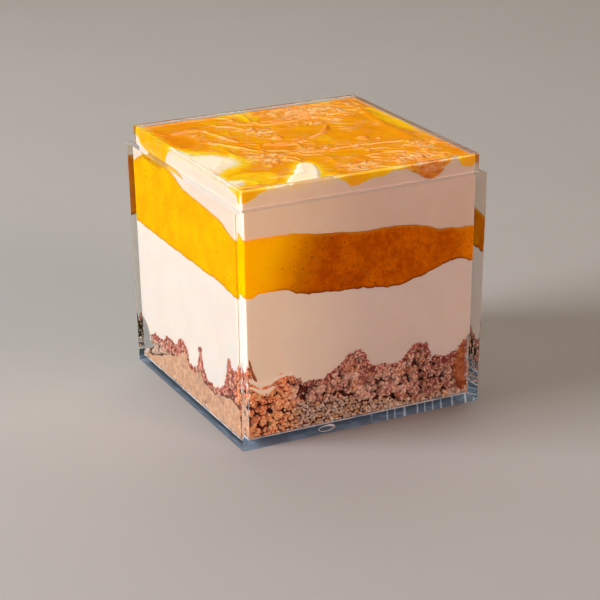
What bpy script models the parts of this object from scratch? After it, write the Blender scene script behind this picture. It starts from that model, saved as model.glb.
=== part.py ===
"""A layered mango cheesecake in its clear square cup, at real size, for Blender 4.5.

The cup is a tub of hard clear plastic: four thick walls that lean out a little, a shoulder that would
carry a lid, and a thin rim above the shoulder. The dessert fills it to the rim. From the floor up it is a
crumble base, a deep layer of cream, a layer of mango, a shallower layer of cream, and a mango glaze with
the cream showing through in places.

The layers meet along uneven surfaces. A surface is known by the line that it draws on the four walls, and
by its height in the middle of the cup; everything between follows from those. Each layer is the cup's
filling cut off by the surface above it and the surface below it.

Lengths are written in millimetres and turned into metres where a mesh is made.
The origin is under the middle of the cup, with +Z up. The front wall faces -Y and the left wall faces -X.
"""

import math
import random

import bmesh
import bpy
import numpy as np

MM = 0.001

# The cup. Half widths are measured from the middle to the face of a wall.
SHOULDER_HALF = 32.5
FOOT_HALF = 31.8
RIM_OUTER_HALF = 31.1
MOUTH_HALF = 30.1
FLOOR_HALF = 29.5
CUP_HEIGHT = 63.0
SHOULDER_HEIGHT = 58.6
FLOOR_THICKNESS = 2.3
EDGE_ROUNDING = 0.25
# How much further out the inside of a wall lies for each millimetre of height.
LEAN = (MOUTH_HALF - FLOOR_HALF) / (CUP_HEIGHT - FLOOR_THICKNESS)

# The room that solids leave between each other.
GAP = 0.3

# Places along a wall run from -WALL to +WALL, and once round the cup they add up to LOOP.
WALL = 30.0
LOOP = 8 * WALL

# A buried surface is carried by square rings of corners, given as shares of WALL, and one near the top by
# an even grid. From the edge ring outwards a surface keeps the line that it draws on the walls.
EDGE_RING = 0.9
REACH = 1.1
BURIED_RINGS = (0.25, 0.62, EDGE_RING, REACH)

# How many cells a surface has along each side. Surfaces with finer forms have more.
CRUMBLE_CELLS = 32
MANGO_BOTTOM_CELLS = 14
MANGO_TOP_CELLS = 16
CREAM_TOP_CELLS = 24
GLAZE_CELLS = 23

# The crumble's lumps, which are pressed flat against the walls. LUMP_DEPTH is how far in from its flat a
# lump's middle lies, as a share of its radius.
LUMP_RADIUS = 2.6
LUMP_SPREAD = 0.5
LUMP_PITCH = 5.0
LUMP_ROW = 4.0
LUMP_ROWS = 3
LUMP_CLEARANCE = 0.1
LUMP_DEPTH = 0.75
LUMP_SIDE_JITTER = 0.6
LUMP_RISE_JITTER = 0.8
LUMP_SEED = 11

# A lump keeps below the crumble's top over this share of its radius, to all sides.
LUMP_FOOTPRINT = 0.6

# The solid core behind the lumps: how far in from the filling's side, and below the crumble's top, it ends.
CORE_INSET = 1.9
CORE_DROP = 0.15

# Air pockets between crumble and cup, as (name, middle, half widths).
POCKETS = (
    ("pocket back left", (-30.5, 31.5, 8.2), (4.6, 7.0, 5.4)),
    ("pocket front right", (30.6, -30.6, 15.4), (1.9, 1.9, 5.2)),
)


def grow(mesh, edge):
    """Extrudes a loop of edges once, and returns the new corners and the new edges."""
    grown = bmesh.ops.extrude_edge_only(mesh, edges=edge)["geom"]
    corners = [item for item in grown if isinstance(item, bmesh.types.BMVert)]
    return corners, [item for item in grown if isinstance(item, bmesh.types.BMEdge)]


def frustum(name, sections):
    """A square block built up through (half width, height) sections, as one extrudes and scales a face."""
    mesh = bmesh.new()
    half, height = sections[0]
    bmesh.ops.create_grid(mesh, x_segments=1, y_segments=1, size=half * MM)
    bmesh.ops.translate(mesh, verts=mesh.verts, vec=(0, 0, height * MM))
    edge = mesh.edges[:]
    for half, height in sections[1:]:
        corners, edge = grow(mesh, edge)
        for corner in corners:
            corner.co.x = math.copysign(half * MM, corner.co.x)
            corner.co.y = math.copysign(half * MM, corner.co.y)
            corner.co.z = height * MM
    bmesh.ops.contextual_create(mesh, geom=edge)
    bmesh.ops.recalc_face_normals(mesh, faces=mesh.faces)
    return finished_object(name, mesh)


def finished_object(name, mesh):
    """An object that takes over the edited mesh."""
    data = bpy.data.meshes.new(name)
    mesh.to_mesh(data)
    mesh.free()
    return bpy.data.objects.new(name, data)


def loop_of(front, right, back, left):
    """One closed line round the four walls, from the front left corner and on past the front right one.

    Each wall is a list of (place, height). Front and back are read along x, right and left along y.
    """
    line = [(WALL + x, z) for x, z in front]
    line += [(3 * WALL + y, z) for y, z in right]
    line += [(5 * WALL - x, z) for x, z in reversed(back)]
    line += [(7 * WALL - y, z) for y, z in reversed(left)]
    return line


def height_on_walls(line, place):
    """The line's height at places round the walls: a cubic through its points that never overshoots them."""
    where = np.array([point[0] for point in line])
    height = np.array([point[1] for point in line])
    where = np.concatenate([where[-2:] - LOOP, where, where[:2] + LOOP])
    height = np.concatenate([height[-2:], height, height[:2]])
    rise = np.diff(height) / np.diff(where)
    before, after = rise[:-1], rise[1:]
    same_way = before * after > 0
    slope = np.where(same_way, 2 * before * after / np.where(same_way, before + after, 1), 0)
    slope = np.concatenate([[0], slope, [0]])
    k = np.clip(np.searchsorted(where, place) - 1, 0, len(where) - 2)
    step = where[k + 1] - where[k]
    t = (place - where[k]) / step
    return (
        height[k] * (1 + 2 * t) * (1 - t) ** 2
        + height[k + 1] * t * t * (3 - 2 * t)
        + step * t * (1 - t) * ((1 - t) * slope[k] - t * slope[k + 1])
    )


def place_round_walls(x, y):
    """The place on the walls that lies straight outwards from (x, y), seen from the middle."""
    reach = np.maximum(np.maximum(np.abs(x), np.abs(y)), 1e-6)
    u, v = x / reach, y / reach
    on_front = v <= -1 + 1e-9
    on_right = u >= 1 - 1e-9
    on_back = v >= 1 - 1e-9
    place = np.select(
        [on_front, on_right, on_back],
        [WALL * (1 + u), WALL * (3 + v), WALL * (5 - u)],
        WALL * (7 - v),
    )
    return np.mod(place, LOOP)


def bump(x, y, middle, size, turn=0.0):
    """A smooth hill of height one: exp(-r^4), with r the distance from its middle in its own half widths."""
    angle = math.radians(turn)
    along = (x - middle[0]) * math.cos(angle) + (y - middle[1]) * math.sin(angle)
    across = (y - middle[1]) * math.cos(angle) - (x - middle[0]) * math.sin(angle)
    return np.exp(-(((along / size[0]) ** 2 + (across / size[1]) ** 2) ** 2))


class Surface:
    """A surface between two layers: its line on the walls fades into one height in the middle."""

    def __init__(self, line, middle, fade, hills=()):
        self.line = line
        self.middle = middle
        self.fade = fade
        self.hills = hills

    def height(self, x, y):
        """The middle's height, plus the wall's difference from it times (way out) ^ fade, plus the hills.

        The way out runs from 0 in the middle to 1 at the edge ring.
        """
        out = np.clip(np.maximum(np.abs(x), np.abs(y)) / (EDGE_RING * WALL), 0, 1)
        on_wall = height_on_walls(self.line, place_round_walls(x, y))
        level = self.middle + (on_wall - self.middle) * out**self.fade
        for rise, middle, size, turn in self.hills:
            level = level + rise * bump(x, y, middle, size, turn)
        return level


# Crumble against the lower cream: short steep peaks, with tongues of cream between them.
CRUMBLE_TOP = Surface(
    loop_of(
        front=[(-30, 20.6), (-28.4, 16.9), (-26.4, 14.6), (-23.6, 16.5), (-20.8, 17.3), (-18, 15.9),
               (-14, 14), (-9.5, 14.3), (-6.5, 16.1), (-3.2, 18.8), (-0.4, 19.7), (1.3, 17.6), (2.7, 14.7),
               (6.3, 14.3), (9.6, 13.9), (12.6, 16.2), (14.4, 17.9), (17.6, 17.5), (19.2, 14.2),
               (22, 13.3), (26, 14.4), (28.4, 17)],
        right=[(-30, 18.9), (-26, 15.6), (-22, 14.2), (-17, 16.8), (-14, 17.4), (-10, 13.6), (-5, 12.8),
               (-1, 15.2), (3, 18.1), (6, 17.2), (9, 13.5), (14, 13), (18, 15.6), (22, 16.9), (26, 14.1)],
        back=[(-26, 11.4), (-22, 13.6), (-18, 15.8), (-15, 12.2), (-9, 11.6), (-5, 14.9), (-1, 17.2),
              (3, 16.1), (7, 12.9), (12, 13.4), (16, 16.9), (20, 17.8), (24, 14.2), (30, 13.1)],
        left=[(-28, 18.6), (-25.6, 18.8), (-23.8, 20.5), (-21.6, 14.4), (-18.4, 11.2), (-15.2, 10.2),
              (-11, 10.9), (-9.3, 12.6), (-7.4, 17.6), (-5.6, 12.6), (-3.2, 10.8), (-0.8, 10.6),
              (0.8, 14), (2.6, 15.5), (4.9, 15.7), (7, 13.4), (9.5, 12.8), (13.2, 13), (16.4, 10.9),
              (21, 10.9), (25.6, 8.9), (30, 10.3)],
    ),
    middle=13.5,
    fade=2.2,
)

# Lower cream against the mango.
MANGO_BOTTOM = Surface(
    loop_of(
        front=[(-30, 37.2), (-25.3, 38), (-20, 37.8), (-16.5, 36.3), (-9.5, 35.3), (-3.2, 35.1), (3.6, 34.3),
               (8.5, 33.6), (14.4, 34.7), (20.1, 36.3), (25.3, 37.8)],
        right=[(-30, 36.7), (-18, 37.6), (-4, 36), (10, 36.3), (22, 37.4)],
        back=[(-18, 38.9), (-2, 37.6), (14, 37.9), (30, 36.9)],
        left=[(-19, 38.1), (0, 38.2), (16, 38.4), (30, 38.6)],
    ),
    middle=36.5,
    fade=1.3,
)

# Mango against the upper cream.
MANGO_TOP = Surface(
    loop_of(
        front=[(-30, 51.3), (-19.4, 51.2), (-9.5, 49.8), (0.3, 48.8), (8.3, 48.6), (15, 47.9), (22, 45.9)],
        right=[(-30, 45.5), (-16, 47.2), (0, 47), (14, 48.6)],
        back=[(-20, 54), (-6, 52.4), (10, 51.6), (22, 49.8), (30, 49.9)],
        left=[(-20.7, 53.8), (-11.3, 54.6), (-0.4, 55.5), (5.4, 57.3), (8, 57.9), (15, 57.9), (22, 57.6),
              (25.6, 56.7), (30, 54.6)],
    ),
    middle=50.0,
    fade=1.4,
)

# Upper cream against the glaze. It dips below the mango's top where glaze and mango run together, and its
# hills come up through the glaze.
CREAM_TOP = Surface(
    loop_of(
        front=[(-30, 59.9), (-25.7, 61.2), (-21.4, 61.8), (-17.5, 61.9), (-9, 61.9), (-5.6, 61.4),
               (-2.5, 60), (3, 60.9), (9.5, 61.5), (14, 60.6), (18.4, 58.2), (21.8, 60.2), (25, 61.4),
               (28, 60.4)],
        right=[(-30, 60.3), (-22, 59.4), (-12, 60.9), (-4, 61.3), (6, 59.6), (14, 60.6), (22, 61.2)],
        back=[(-24, 59.8), (-16, 61), (-6, 60.4), (4, 59.2), (14, 60.7), (22, 61.3), (30, 60.2)],
        left=[(-28.6, 61.7), (-24, 61.9), (-6, 62), (6.8, 61.9), (8.8, 56.8), (15, 56.4), (22.6, 56.6),
              (26.4, 59), (30, 60.8)],
    ),
    middle=60.6,
    fade=3.0,
    hills=(
        (1.0, (-11.2, -25.6), (4.2, 7.4), -28),
        (0.8, (-29.6, -4.4), (4.0, 8.8), 0),
        (0.9, (-24.0, -8.6), (3.6, 2.4), -20),
        (0.8, (-27.6, -22.6), (2.0, 2.0), 0),
    ),
)

# The glaze's own top: level with the rim at the walls, with low folds between.
GLAZE_TOP = Surface(
    loop_of(
        front=[(-30, 62.5), (-14, 62.6), (0, 62.4), (16, 62.5)],
        right=[(-30, 62.4), (-10, 62.6), (12, 62.4)],
        back=[(-12, 62.5), (10, 62.3), (30, 62.5)],
        left=[(-12, 62.6), (12, 62.4), (30, 62.5)],
    ),
    middle=62.3,
    fade=1.0,
    hills=(
        (0.45, (-14.0, 12.5), (8.5, 1.9), -8),
        (0.40, (-9.0, -7.0), (7.5, 1.7), 14),
        (0.45, (4.5, 3.0), (9.0, 2.0), -20),
        (0.45, (13.5, 14.0), (7.0, 2.4), 10),
        (0.40, (17.0, -9.0), (8.0, 1.8), 24),
        (0.40, (3.0, -19.5), (9.5, 1.6), -6),
        (0.40, (-3.0, 22.0), (9.0, 1.9), 6),
        (0.35, (-22.0, 22.5), (5.0, 2.0), -30),
        (0.35, (23.5, 3.5), (2.4, 7.5), 8),
        (-0.45, (-4.5, -3.0), (6.0, 2.6), 5),
        (-0.45, (9.5, -13.5), (6.5, 2.4), -12),
        (-0.40, (14.5, 6.0), (6.0, 2.6), 18),
        (-0.40, (-17.5, 3.5), (5.5, 2.6), -10),
        (-0.35, (2.5, 13.0), (6.5, 2.2), 0),
    ),
)


def filling(name, inset=GAP):
    """The cup's room, kept clear of its walls and floor, and taller than the dessert."""
    low = FLOOR_THICKNESS + GAP
    above_rim = 1
    high = CUP_HEIGHT + above_rim
    bottom_half = FLOOR_HALF + LEAN * GAP - inset
    top_half = MOUTH_HALF + LEAN * above_rim - inset
    return frustum(name, [(bottom_half, low), (top_half, high)])


def block_below(name, surface, points_a_side, buried=True, lift=0.0):
    """A block that holds all that lies below a surface: a sheet of corners, pulled down into a block.

    A buried surface starts as a small square that is grown outwards ring by ring.
    """
    mesh = bmesh.new()
    if buried:
        bmesh.ops.create_grid(mesh, x_segments=1, y_segments=1, size=BURIED_RINGS[0] * WALL)
        bmesh.ops.subdivide_edges(mesh, edges=mesh.edges[:], cuts=points_a_side - 1)
        edge = mesh.edges[:]
        for inner, outer in zip(BURIED_RINGS, BURIED_RINGS[1:]):
            ring, edge = grow(mesh, edge)
            bmesh.ops.scale(mesh, verts=ring, vec=(outer / inner, outer / inner, 1))
    else:
        bmesh.ops.create_grid(mesh, x_segments=points_a_side, y_segments=points_a_side, size=REACH * WALL)
        edge = [item for item in mesh.edges if item.is_boundary]
    where = np.array([vertex.co[:] for vertex in mesh.verts])
    level = surface.height(where[:, 0], where[:, 1]) + lift
    for vertex, z in zip(mesh.verts, level):
        vertex.co = (vertex.co.x * MM, vertex.co.y * MM, z * MM)
    foot, edge = grow(mesh, edge)
    for vertex in foot:
        vertex.co.z = -FLOOR_THICKNESS * MM
    bmesh.ops.contextual_create(mesh, geom=edge)
    bmesh.ops.triangulate(mesh, faces=mesh.faces[:])
    bmesh.ops.recalc_face_normals(mesh, faces=mesh.faces)
    return finished_object(name, mesh)


def cut(target, cutter, operation):
    """A live Boolean on the target."""
    modifier = target.modifiers.new(f"{operation.lower()} {cutter.name}", "BOOLEAN")
    modifier.operation = operation
    modifier.object = cutter
    modifier.solver = "EXACT"


def on_wall(place, height, depth):
    """The point at a place round the walls, at a height, and at a depth inside the filling's side."""
    half = FLOOR_HALF - GAP + LEAN * (height - FLOOR_THICKNESS) - depth
    side, along = divmod(place % LOOP, 2 * WALL)
    along = min(max(along - WALL, -half), half)
    return {
        0: (along, -half, height),
        1: (half, along, height),
        2: (-along, half, height),
        3: (-half, -along, height),
    }[int(side)]


def room_for_lump(place, radius):
    """The highest middle that keeps a lump of this radius below the crumble's top, all over its width."""
    x, y, _ = on_wall(place, CRUMBLE_TOP.middle, LUMP_DEPTH * radius)
    spread = LUMP_FOOTPRINT * radius * np.array([-1, 0, 1])
    across, along = np.meshgrid(x + spread, y + spread)
    return CRUMBLE_TOP.height(across, along).min() - radius - LUMP_CLEARANCE


def crumble_lumps(rng):
    """Where lumps lie: (middle, radius, turn), in rows up each wall and one more row along the peaks."""
    lumps = []
    count = round(LOOP / LUMP_PITCH)
    lowest = FLOOR_THICKNESS + GAP + LUMP_RADIUS
    for row in range(LUMP_ROWS + 1):
        for step in range(count):
            place = (step + 0.5 * (row % 2)) * LOOP / count
            place += rng.uniform(-LUMP_SIDE_JITTER, LUMP_SIDE_JITTER)
            radius = LUMP_RADIUS + rng.uniform(-LUMP_SPREAD, LUMP_SPREAD)
            height = lowest + LUMP_ROW * row + rng.uniform(0, LUMP_RISE_JITTER)
            turn = rng.uniform(0, math.tau)
            ceiling = room_for_lump(place, radius)
            if row == LUMP_ROWS:
                height = ceiling
            elif height > ceiling - radius:
                continue
            if height >= lowest:
                lumps.append((on_wall(place, height, LUMP_DEPTH * radius), radius, turn))
    return lumps


def largest_shell(mesh):
    """Keeps a mesh's largest shell, and drops sealed hollows and loose scraps."""
    waiting = set(mesh.faces)
    shells = []
    while waiting:
        shell = {waiting.pop()}
        newest = list(shell)
        while newest:
            for edge in newest.pop().edges:
                beside = waiting.intersection(edge.link_faces)
                waiting -= beside
                shell |= beside
                newest.extend(beside)
        shells.append(shell)
    keep = max(shells, key=len)
    bmesh.ops.delete(mesh, geom=[face for face in mesh.faces if face not in keep], context="FACES")


def crumble_base(parts, cutters):
    """The crumble: a core cut off by its top, with the lumps that show at the walls fused on."""
    core = filling("crumble_base", GAP + CORE_INSET)
    parts.objects.link(core)
    top = block_below("below crumble top", CRUMBLE_TOP, CRUMBLE_CELLS, lift=-CORE_DROP)
    cutters.objects.link(top)
    cut(core, top, "INTERSECT")

    lumps = bpy.data.collections.new("crumble lumps")
    bpy.context.scene.collection.children.link(lumps)
    for number, (middle, radius, turn) in enumerate(crumble_lumps(random.Random(LUMP_SEED))):
        mesh = bmesh.new()
        bmesh.ops.create_icosphere(mesh, subdivisions=1, radius=radius * MM)
        lump = finished_object(f"lump {number}", mesh)
        lump.location = [value * MM for value in middle]
        lump.rotation_euler = (turn, 1.7 * turn, 0.6 * turn)
        lumps.objects.link(lump)
    fuse = core.modifiers.new("fuse lumps", "BOOLEAN")
    fuse.operation = "UNION"
    fuse.operand_type = "COLLECTION"
    fuse.collection = lumps
    fuse.solver = "EXACT"

    room = filling("room for lumps")
    cutters.objects.link(room)
    cut(core, room, "INTERSECT")
    for name, middle, size in POCKETS:
        mesh = bmesh.new()
        bmesh.ops.create_uvsphere(mesh, u_segments=14, v_segments=8, radius=MM)
        bmesh.ops.scale(mesh, verts=mesh.verts, vec=size)
        pocket = finished_object(name, mesh)
        pocket.location = [value * MM for value in middle]
        cutters.objects.link(pocket)
        cut(core, pocket, "DIFFERENCE")

    bpy.context.view_layer.update()
    result = bpy.data.meshes.new_from_object(core.evaluated_get(bpy.context.evaluated_depsgraph_get()))
    core.modifiers.clear()
    mesh = bmesh.new()
    mesh.from_mesh(result)
    largest_shell(mesh)
    bmesh.ops.triangulate(mesh, faces=mesh.faces[:])
    mesh.to_mesh(result)
    mesh.free()
    core.data = result
    for lump in list(lumps.objects):
        bpy.data.objects.remove(lump)
    bpy.data.collections.remove(lumps)
    return core


def layer(name, parts, above, below):
    """The filling kept below one block and cleared of the blocks that hold the layers under it."""
    solid = filling(name)
    parts.objects.link(solid)
    cut(solid, above, "INTERSECT")
    for block in below:
        cut(solid, block, "DIFFERENCE")
    return solid


def cup():
    """The tub, from its foot up the outside, over the shoulder and rim, and down inside to the floor."""
    tub = frustum(
        "cup",
        [
            (FOOT_HALF, 0),
            (SHOULDER_HALF, SHOULDER_HEIGHT),
            (RIM_OUTER_HALF, SHOULDER_HEIGHT),
            (RIM_OUTER_HALF, CUP_HEIGHT),
            (MOUTH_HALF, CUP_HEIGHT),
            (FLOOR_HALF, FLOOR_THICKNESS),
        ],
    )
    rounding = tub.modifiers.new("edge rounding", "BEVEL")
    rounding.width = EDGE_ROUNDING * MM
    rounding.segments = 2
    rounding.limit_method = "ANGLE"
    return tub


def paint(solid, colour, roughness, transmission=0.0, ior=1.45):
    """Gives a solid its own Principled material."""
    material = bpy.data.materials.new(solid.name)
    material.use_nodes = True
    shader = material.node_tree.nodes["Principled BSDF"]
    shader.inputs["Base Color"].default_value = (*colour, 1)
    shader.inputs["Roughness"].default_value = roughness
    shader.inputs["Metallic"].default_value = 0
    shader.inputs["Transmission Weight"].default_value = transmission
    shader.inputs["IOR"].default_value = ior
    material.diffuse_color = (*colour, 1 - 0.7 * transmission)
    solid.data.materials.clear()
    solid.data.materials.append(material)


def build():
    """Makes the cup and its five layers."""
    for leftover in list(bpy.data.objects):
        bpy.data.objects.remove(leftover)
    parts = bpy.data.collections.new("cheesecake cup")
    cutters = bpy.data.collections.new("cutters")
    for collection in (parts, cutters):
        bpy.context.scene.collection.children.link(collection)

    blocks = {
        "over crumble": block_below("over crumble", CRUMBLE_TOP, CRUMBLE_CELLS, lift=GAP),
        "below mango": block_below("below mango", MANGO_BOTTOM, MANGO_BOTTOM_CELLS),
        "over cream": block_below("over cream", MANGO_BOTTOM, MANGO_BOTTOM_CELLS, lift=GAP),
        "below upper cream": block_below("below upper cream", MANGO_TOP, MANGO_TOP_CELLS),
        "over mango": block_below("over mango", MANGO_TOP, MANGO_TOP_CELLS, lift=GAP),
        "below glaze": block_below("below glaze", CREAM_TOP, CREAM_TOP_CELLS, buried=False),
        "over upper cream": block_below(
            "over upper cream", CREAM_TOP, CREAM_TOP_CELLS, buried=False, lift=GAP
        ),
        "below air": block_below("below air", GLAZE_TOP, GLAZE_CELLS, buried=False),
    }
    for block in blocks.values():
        cutters.objects.link(block)

    tub = cup()
    parts.objects.link(tub)
    crumble = crumble_base(parts, cutters)
    lower_cream = layer("lower_cream", parts, blocks["below mango"], [blocks["over crumble"]])
    mango = layer("mango_layer", parts, blocks["below upper cream"], [blocks["over cream"]])
    upper_cream = layer("upper_cream", parts, blocks["below glaze"], [blocks["over mango"]])
    glaze = layer(
        "mango_glaze", parts, blocks["below air"], [blocks["over mango"], blocks["over upper cream"]]
    )

    for cutter in cutters.objects:
        cutter.hide_render = True
        cutter.display_type = "WIRE"

    paint(tub, (0.94, 0.96, 0.98), 0.05, transmission=1.0, ior=1.59)
    paint(crumble, (0.33, 0.13, 0.06), 0.85)
    paint(lower_cream, (0.90, 0.79, 0.66), 0.5)
    paint(mango, (0.95, 0.42, 0.01), 0.35)
    paint(upper_cream, (0.90, 0.79, 0.66), 0.5)
    paint(glaze, (0.93, 0.36, 0.01), 0.15)


build()
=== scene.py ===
# %% [markdown]
# # A layered mango cheesecake in its clear square cup
#
# The dessert is eaten out of a tub of hard clear plastic. Through the walls one sees, from the floor up, a
# crumble base, a deep cream, a band of mango, a second cream, and a mango glaze that covers the top and lets
# the cream through in places.
#
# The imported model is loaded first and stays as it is: the cup is that model's own cup with a better finish.
# Its five food solids are coarse, so finely worked pieces of the same form replace them here. Lengths are
# worked out in millimetres, and become metres where a mesh is made.

# %% The frame
import math

import bmesh
import bpy
import numpy as np
from mathutils import Matrix, Vector


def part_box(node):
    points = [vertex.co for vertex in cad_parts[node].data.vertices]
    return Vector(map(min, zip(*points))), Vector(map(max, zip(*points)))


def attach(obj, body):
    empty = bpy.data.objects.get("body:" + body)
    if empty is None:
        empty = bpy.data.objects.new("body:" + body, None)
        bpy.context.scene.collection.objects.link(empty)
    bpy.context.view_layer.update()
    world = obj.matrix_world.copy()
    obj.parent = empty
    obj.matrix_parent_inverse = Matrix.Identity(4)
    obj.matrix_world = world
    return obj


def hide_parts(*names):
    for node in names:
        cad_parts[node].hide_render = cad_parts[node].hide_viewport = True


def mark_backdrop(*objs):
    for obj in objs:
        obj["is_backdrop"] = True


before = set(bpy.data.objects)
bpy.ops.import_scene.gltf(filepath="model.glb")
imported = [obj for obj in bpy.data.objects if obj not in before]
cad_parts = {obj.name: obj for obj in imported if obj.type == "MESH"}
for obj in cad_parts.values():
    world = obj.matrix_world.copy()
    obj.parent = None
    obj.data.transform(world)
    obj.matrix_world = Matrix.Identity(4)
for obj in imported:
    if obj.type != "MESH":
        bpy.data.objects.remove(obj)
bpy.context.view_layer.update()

MM = 0.001
print("the packed model holds", ", ".join(sorted(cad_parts)))

# %% [markdown]
# ## The room inside the cup
#
# The walls lean out a little, so the room is wider at the mouth than at the floor. Food touches the plastic
# with no air between, and a surface that only met the wall would leave a bright line there. So every piece
# reaches a little way into the wall, and where two pieces meet at a wall the one that reaches further shows.

# %% The room
FLOOR_HALF = 29.5
MOUTH_HALF = 30.1
FLOOR_THICKNESS = 2.3
CUP_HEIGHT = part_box("cup")[1].z / MM
LEAN = (MOUTH_HALF - FLOOR_HALF) / (CUP_HEIGHT - FLOOR_THICKNESS)
REACH_BEHIND = 0.05
REACH_IN_FRONT = 0.10

# Places along a wall run from -WALL to +WALL, and once round the cup they add up to LOOP.
WALL = 30.0
LOOP = 8 * WALL


def half_room(z):
    """Half the room's width at a height: the floor's half width plus the wall's lean times the height."""
    return FLOOR_HALF + LEAN * (z - FLOOR_THICKNESS)


print(f"the room is {2 * FLOOR_HALF:.1f} mm wide at the floor and {2 * MOUTH_HALF:.1f} mm at the mouth")

# %% [markdown]
# ## Noise, steps and outlines
#
# Food has no straight edges, so nearly every formula below gets a little noise. Value noise is the simplest
# kind: random numbers on a square lattice, with smooth steps between them. Along x its lattice repeats once
# round the cup, so that a relief that runs round the four walls joins up with itself.

# %% Helpers for arrays


def noise(x, y, size, seed):
    """Soft relief from -1 to 1: random values on a lattice of this pitch, joined by steps t*t*(3 - 2t)."""
    cells = round(LOOP / size)
    table = np.random.default_rng(seed).uniform(-1, 1, (cells, 64))
    x = np.asarray(x, float) * cells / LOOP
    y = np.asarray(y, float) / size
    i, j = np.floor(x).astype(int), np.floor(y).astype(int)
    s, t = x - i, y - j
    s, t = s * s * (3 - 2 * s), t * t * (3 - 2 * t)
    low = table[i % cells, j % 64] * (1 - s) + table[(i + 1) % cells, j % 64] * s
    high = table[i % cells, (j + 1) % 64] * (1 - s) + table[(i + 1) % cells, (j + 1) % 64] * s
    return low * (1 - t) + high * t


def layered_noise(x, y, size, seed, layers=3):
    """Noise at one pitch, plus half as much at half the pitch, and so on."""
    return sum(noise(x, y, size / 2**k, seed + k) / 2**k for k in range(layers))


def level_noise(x, y, size, seed, layers=1):
    """Layered noise for a level surface, read far from the lattice's edge."""
    return layered_noise(x + LOOP / 2, y + LOOP / 2, size, seed, layers)


def step(low, high, value):
    """A soft step: 0 up to low, 1 from high, and t*t*(3 - 2t) between."""
    t = np.clip((value - low) / (high - low), 0, 1)
    return t * t * (3 - 2 * t)


def off_path(x, y, path):
    """The distance from a bent line: the least of the distances from its straight pieces."""
    least = np.full(np.shape(x), np.inf)
    for (ax, ay), (bx, by) in zip(path, path[1:]):
        along = ((x - ax) * (bx - ax) + (y - ay) * (by - ay)) / ((bx - ax) ** 2 + (by - ay) ** 2)
        along = np.clip(along, 0, 1)
        least = np.minimum(least, np.hypot(x - ax - along * (bx - ax), y - ay - along * (by - ay)))
    return least


def inside_by(x, y, outline):
    """How far inside a closed outline a point lies: its distance from the outline, negative when outside."""
    inside = np.zeros(np.shape(x), bool)
    closed = outline + outline[:1]
    for (ax, ay), (bx, by) in zip(closed, closed[1:]):
        if ay != by:
            inside ^= ((ay > y) != (by > y)) & (x < ax + (y - ay) * (bx - ax) / (by - ay))
    return np.where(inside, 1, -1) * off_path(x, y, closed)


def oval(x, y, middle, size, turn=0.0):
    """How far out a point lies in an oval, in half widths: 0 in its middle and 1 on its edge."""
    angle = math.radians(turn)
    along = (x - middle[0]) * math.cos(angle) + (y - middle[1]) * math.sin(angle)
    across = (y - middle[1]) * math.cos(angle) - (x - middle[0]) * math.sin(angle)
    return np.hypot(along / size[0], across / size[1])


sample = noise(np.linspace(0, LOOP, 500), 0, 5, 1)
print(f"noise runs from {sample.min():.2f} to {sample.max():.2f} and closes round the cup")

# %% [markdown]
# ## Where the layers meet
#
# Seen from outside, each layer ends in a line that runs round the four walls. That line is what an eye
# compares, so it is the thing to hold: a few heights on each wall, joined by a cubic that never overshoots.
# Inside the cup nobody sees the surface, and it only has to fade from its line to one height in the middle.

# %% Lines round the walls


def loop_of(front, right, back, left):
    """One closed line round the walls. Each wall is a list of (place, height), read along x or along y."""
    line = [(WALL + x, z) for x, z in front]
    line += [(3 * WALL + y, z) for y, z in right]
    line += [(5 * WALL - x, z) for x, z in reversed(back)]
    line += [(7 * WALL - y, z) for y, z in reversed(left)]
    return line


def height_on_walls(line, place):
    """The line's height at places round the walls: Hermite cubics whose slope is the harmonic mean of the
    slopes on both sides, and level where the line turns."""
    where = np.array([point[0] for point in line])
    height = np.array([point[1] for point in line])
    where = np.concatenate([where[-2:] - LOOP, where, where[:2] + LOOP])
    height = np.concatenate([height[-2:], height, height[:2]])
    rise = np.diff(height) / np.diff(where)
    before, after = rise[:-1], rise[1:]
    same_way = before * after > 0
    slope = np.where(same_way, 2 * before * after / np.where(same_way, before + after, 1), 0)
    slope = np.concatenate([[0], slope, [0]])
    k = np.clip(np.searchsorted(where, place) - 1, 0, len(where) - 2)
    run = where[k + 1] - where[k]
    t = (place - where[k]) / run
    return (
        height[k] * (1 + 2 * t) * (1 - t) ** 2
        + height[k + 1] * t * t * (3 - 2 * t)
        + run * t * (1 - t) * ((1 - t) * slope[k] - t * slope[k + 1])
    )


def place_round_walls(x, y):
    """The place on the walls that lies straight outwards from (x, y), seen from the middle."""
    reach = np.maximum(np.maximum(np.abs(x), np.abs(y)), 1e-6)
    u, v = x / reach, y / reach
    place = np.select(
        [v <= -1 + 1e-9, u >= 1 - 1e-9, v >= 1 - 1e-9],
        [WALL * (1 + u), WALL * (3 + v), WALL * (5 - u)],
        WALL * (7 - v),
    )
    return np.mod(place, LOOP)


class Surface:
    """A surface between two layers, which fades from its line on the walls to one height in the middle."""

    def __init__(self, line, middle, fade, fray, fray_size, seed):
        self.line, self.middle, self.fade = line, middle, fade
        self.fray, self.fray_size, self.seed = fray, fray_size, seed

    def on_walls(self, place):
        """The line, frayed by layered noise."""
        frayed = self.fray * layered_noise(place, 0, self.fray_size, self.seed)
        return height_on_walls(self.line, place) + frayed

    def height(self, x, y):
        """Middle height plus the line's difference from it, times the way out to the wall ^ fade."""
        out = np.clip(np.maximum(np.abs(x), np.abs(y)) / WALL, 0, 1)
        return self.middle + (self.on_walls(place_round_walls(x, y)) - self.middle) * out**self.fade


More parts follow.
